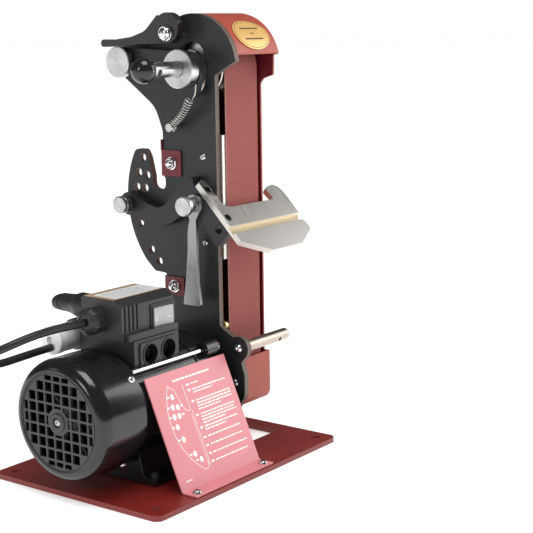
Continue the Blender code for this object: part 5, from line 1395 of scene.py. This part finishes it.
def make_gland():
    """Cable gland: hexagon body against the box, ribbed dome nut and rubber seal."""
    face = CONTROL_X[0] - GAP
    y, z = GLAND
    place = shift(face, y, z)
    body = ringed([(0, 3.9, "o"), (0, 12.4, "o"), (-1.2, 12.4, "o"), (-1.4, 11.2, "x"), (-5.2, 11.2, "x"),
                   (-5.4, 10.8, "o"), (-5.4, 3.9, "o")], place, 48)
    bm = bmesh.new()
    loops = []
    for x, r, rib in ((-5.5, 3.9, 0), (-5.5, 12.2, 0), (-6, 12.7, 1), (-12.6, 12.7, 1), (-14, 11.9, 0.6),
                      (-16, 10.2, 0.2), (-17.2, 8.2, 0), (-17.8, 7.2, 0), (-17.8, 6.6, 0), (-16.9, 6, 0),
                      (-16.9, 3.9, 0)):
        reach = [(a, r - rib * 0.55 * max(0, cos(12 * a)) ** 2) for a in turn_angles(96)]
        loops.append([bm.verts.new((x, far * cos(a), far * sin(a))) for a, far in reach])
    bridge(bm, loops, closed=True)
    bm.transform(place)
    piece("gland_nut", joined(body, mesh_from(bm, merge=0.0005)), "box_grey", "cable_gland", sharp=40)


def make_capacitor():
    """Run capacitor in its white can, with its moulded cap end."""
    y, z, r = CAPACITOR
    profile = [(-103, 4.2), (-103, r - 3), (-102.6, r - 1.4), (-101.5, r), (-94.6, r), (-94.3, r - 0.6),
        (-93.6, r - 0.6), (-93.3, r - 0.2), (-92.7, r - 0.2), (-92.4, r - 0.6), (-59, r - 0.6), (-57.6, r - 1.4),
        (-57, r - 2.6), (-57, 0), (-99, 0), (-99, 4.2)]
    piece("capacitor_can", turned(profile, (y, z), 80), "white", "capacitor", sharp=30)


def make_connector():
    """Moulded appliance connector and its ribbed, tapering strain relief, which bends to the cord."""
    x, y, z, _ = BOOT_BEND
    start = CONTROL_Y[1] + GAP
    chain = [Vector((x, start + d, z - 0.3)) for d in (0, 0.6, 1.8, 9, 16.4, 18.2, 20.5, 28)]
    sizes = [10.6, 11.8, 12.2, 12, 12.2, 11.6, 10.4, 9.4]
    ribs = 6
    for i in range(ribs):
        big = 8.8 - 0.62 * i
        for share, size in ((0, big - 0.25), (0.06, big), (0.52, big), (0.58, big - 0.25), (0.62, big - 1.5),
                            (0.96, big - 1.6)):
            chain.append(boot_bend(62 * (i + share) / ribs))
            sizes.append(size)
    chain.append(boot_bend(62))
    sizes.append(4.2)
    piece("connector_boot", tube(chain, 1, 10, sizes), "cord_black", "mains_connector", sharp=38)


# ---- stage
def area_light(name, spot, aim, size, power, height=None):
    """A soft rectangular light aimed at a point, in metres and watts."""
    data = bpy.data.lights.new(name, "AREA")
    data.shape = "RECTANGLE"
    data.size = size
    data.size_y = height or size
    data.energy = power
    obj = bpy.data.objects.new(name, data)
    obj.location = spot
    obj.rotation_euler = (Vector(aim) - Vector(spot)).to_track_quat("-Z", "Y").to_euler()
    SCENE.collection.objects.link(obj)


def make_stage():
    """Pale floor, even surroundings and soft studio lights."""
    bm = bmesh.new()
    bmesh.ops.create_circle(bm, cap_ends=True, radius=40, segments=96)
    bmesh.ops.translate(bm, vec=(0, 0, -FLOOR_DROP), verts=bm.verts)
    mesh = bpy.data.meshes.new("floor")
    bm.to_mesh(mesh)
    bm.free()
    floor = bpy.data.objects.new("floor", mesh)
    paint = bpy.data.materials.new("fin_floor")
    paint.use_nodes = True
    shader = paint.node_tree.nodes["Principled BSDF"]
    for socket, value in (("Base Color", (0.86, 0.86, 0.86, 1)), ("Roughness", 0.85), ("Specular IOR Level", 0.1),
                          ("Emission Color", (1, 1, 1, 1)), ("Emission Strength", 0.34)):
        shader.inputs[socket].default_value = value
    mesh.materials.append(paint)
    SCENE.collection.objects.link(floor)
    world = bpy.data.worlds.new("studio")
    world.use_nodes = True
    SCENE.world = world
    nodes, links = world.node_tree.nodes, world.node_tree.links
    sky, dim, soft = nodes["Background"], nodes.new("ShaderNodeBackground"), nodes.new("ShaderNodeBackground")
    for glow, colour, strength in ((sky, (1, 1, 1), 1), (dim, (0.92, 0.95, 1), 0.10),
                                   (soft, (1, 1, 1), 0.80)):
        glow.inputs["Color"].default_value = (*colour, 1)
        glow.inputs["Strength"].default_value = strength
    ray = nodes.new("ShaderNodeLightPath")
    first, second = nodes.new("ShaderNodeMixShader"), nodes.new("ShaderNodeMixShader")
    links.new(ray.outputs["Is Glossy Ray"], first.inputs[0])
    links.new(soft.outputs[0], first.inputs[1])
    links.new(dim.outputs[0], first.inputs[2])
    links.new(ray.outputs["Is Camera Ray"], second.inputs[0])
    links.new(first.outputs[0], second.inputs[1])
    links.new(sky.outputs[0], second.inputs[2])
    links.new(second.outputs[0], nodes["World Output"].inputs[0])
    aim = (0, 0, 0.2)
    area_light("overhead", (-0.15, -0.45, 2.1), aim, 1.1, 20)
    area_light("right_box", (1.7, -0.95, 0.75), aim, 1.1, 14, 1.3)
    area_light("left_box", (-1.9, 0.1, 1), aim, 0.6, 6)
    area_light("back_left", (-1.5, 1.5, 0.55), (0, 0, 0.36), 0.35, 1, 0.7)
    SCENE.view_settings.view_transform = "Standard"
    SCENE.view_settings.look = "None"


for make in (make_base, make_side_plate, make_back_cover, make_lower_cover, make_badge, make_belt, make_wheels,
             make_head, make_rest_arm, make_tool_rest, make_tool_post, make_info_plate, make_motor,
             make_terminal_box, make_control_box, make_gland, make_capacitor, make_connector, make_stage):
    make()
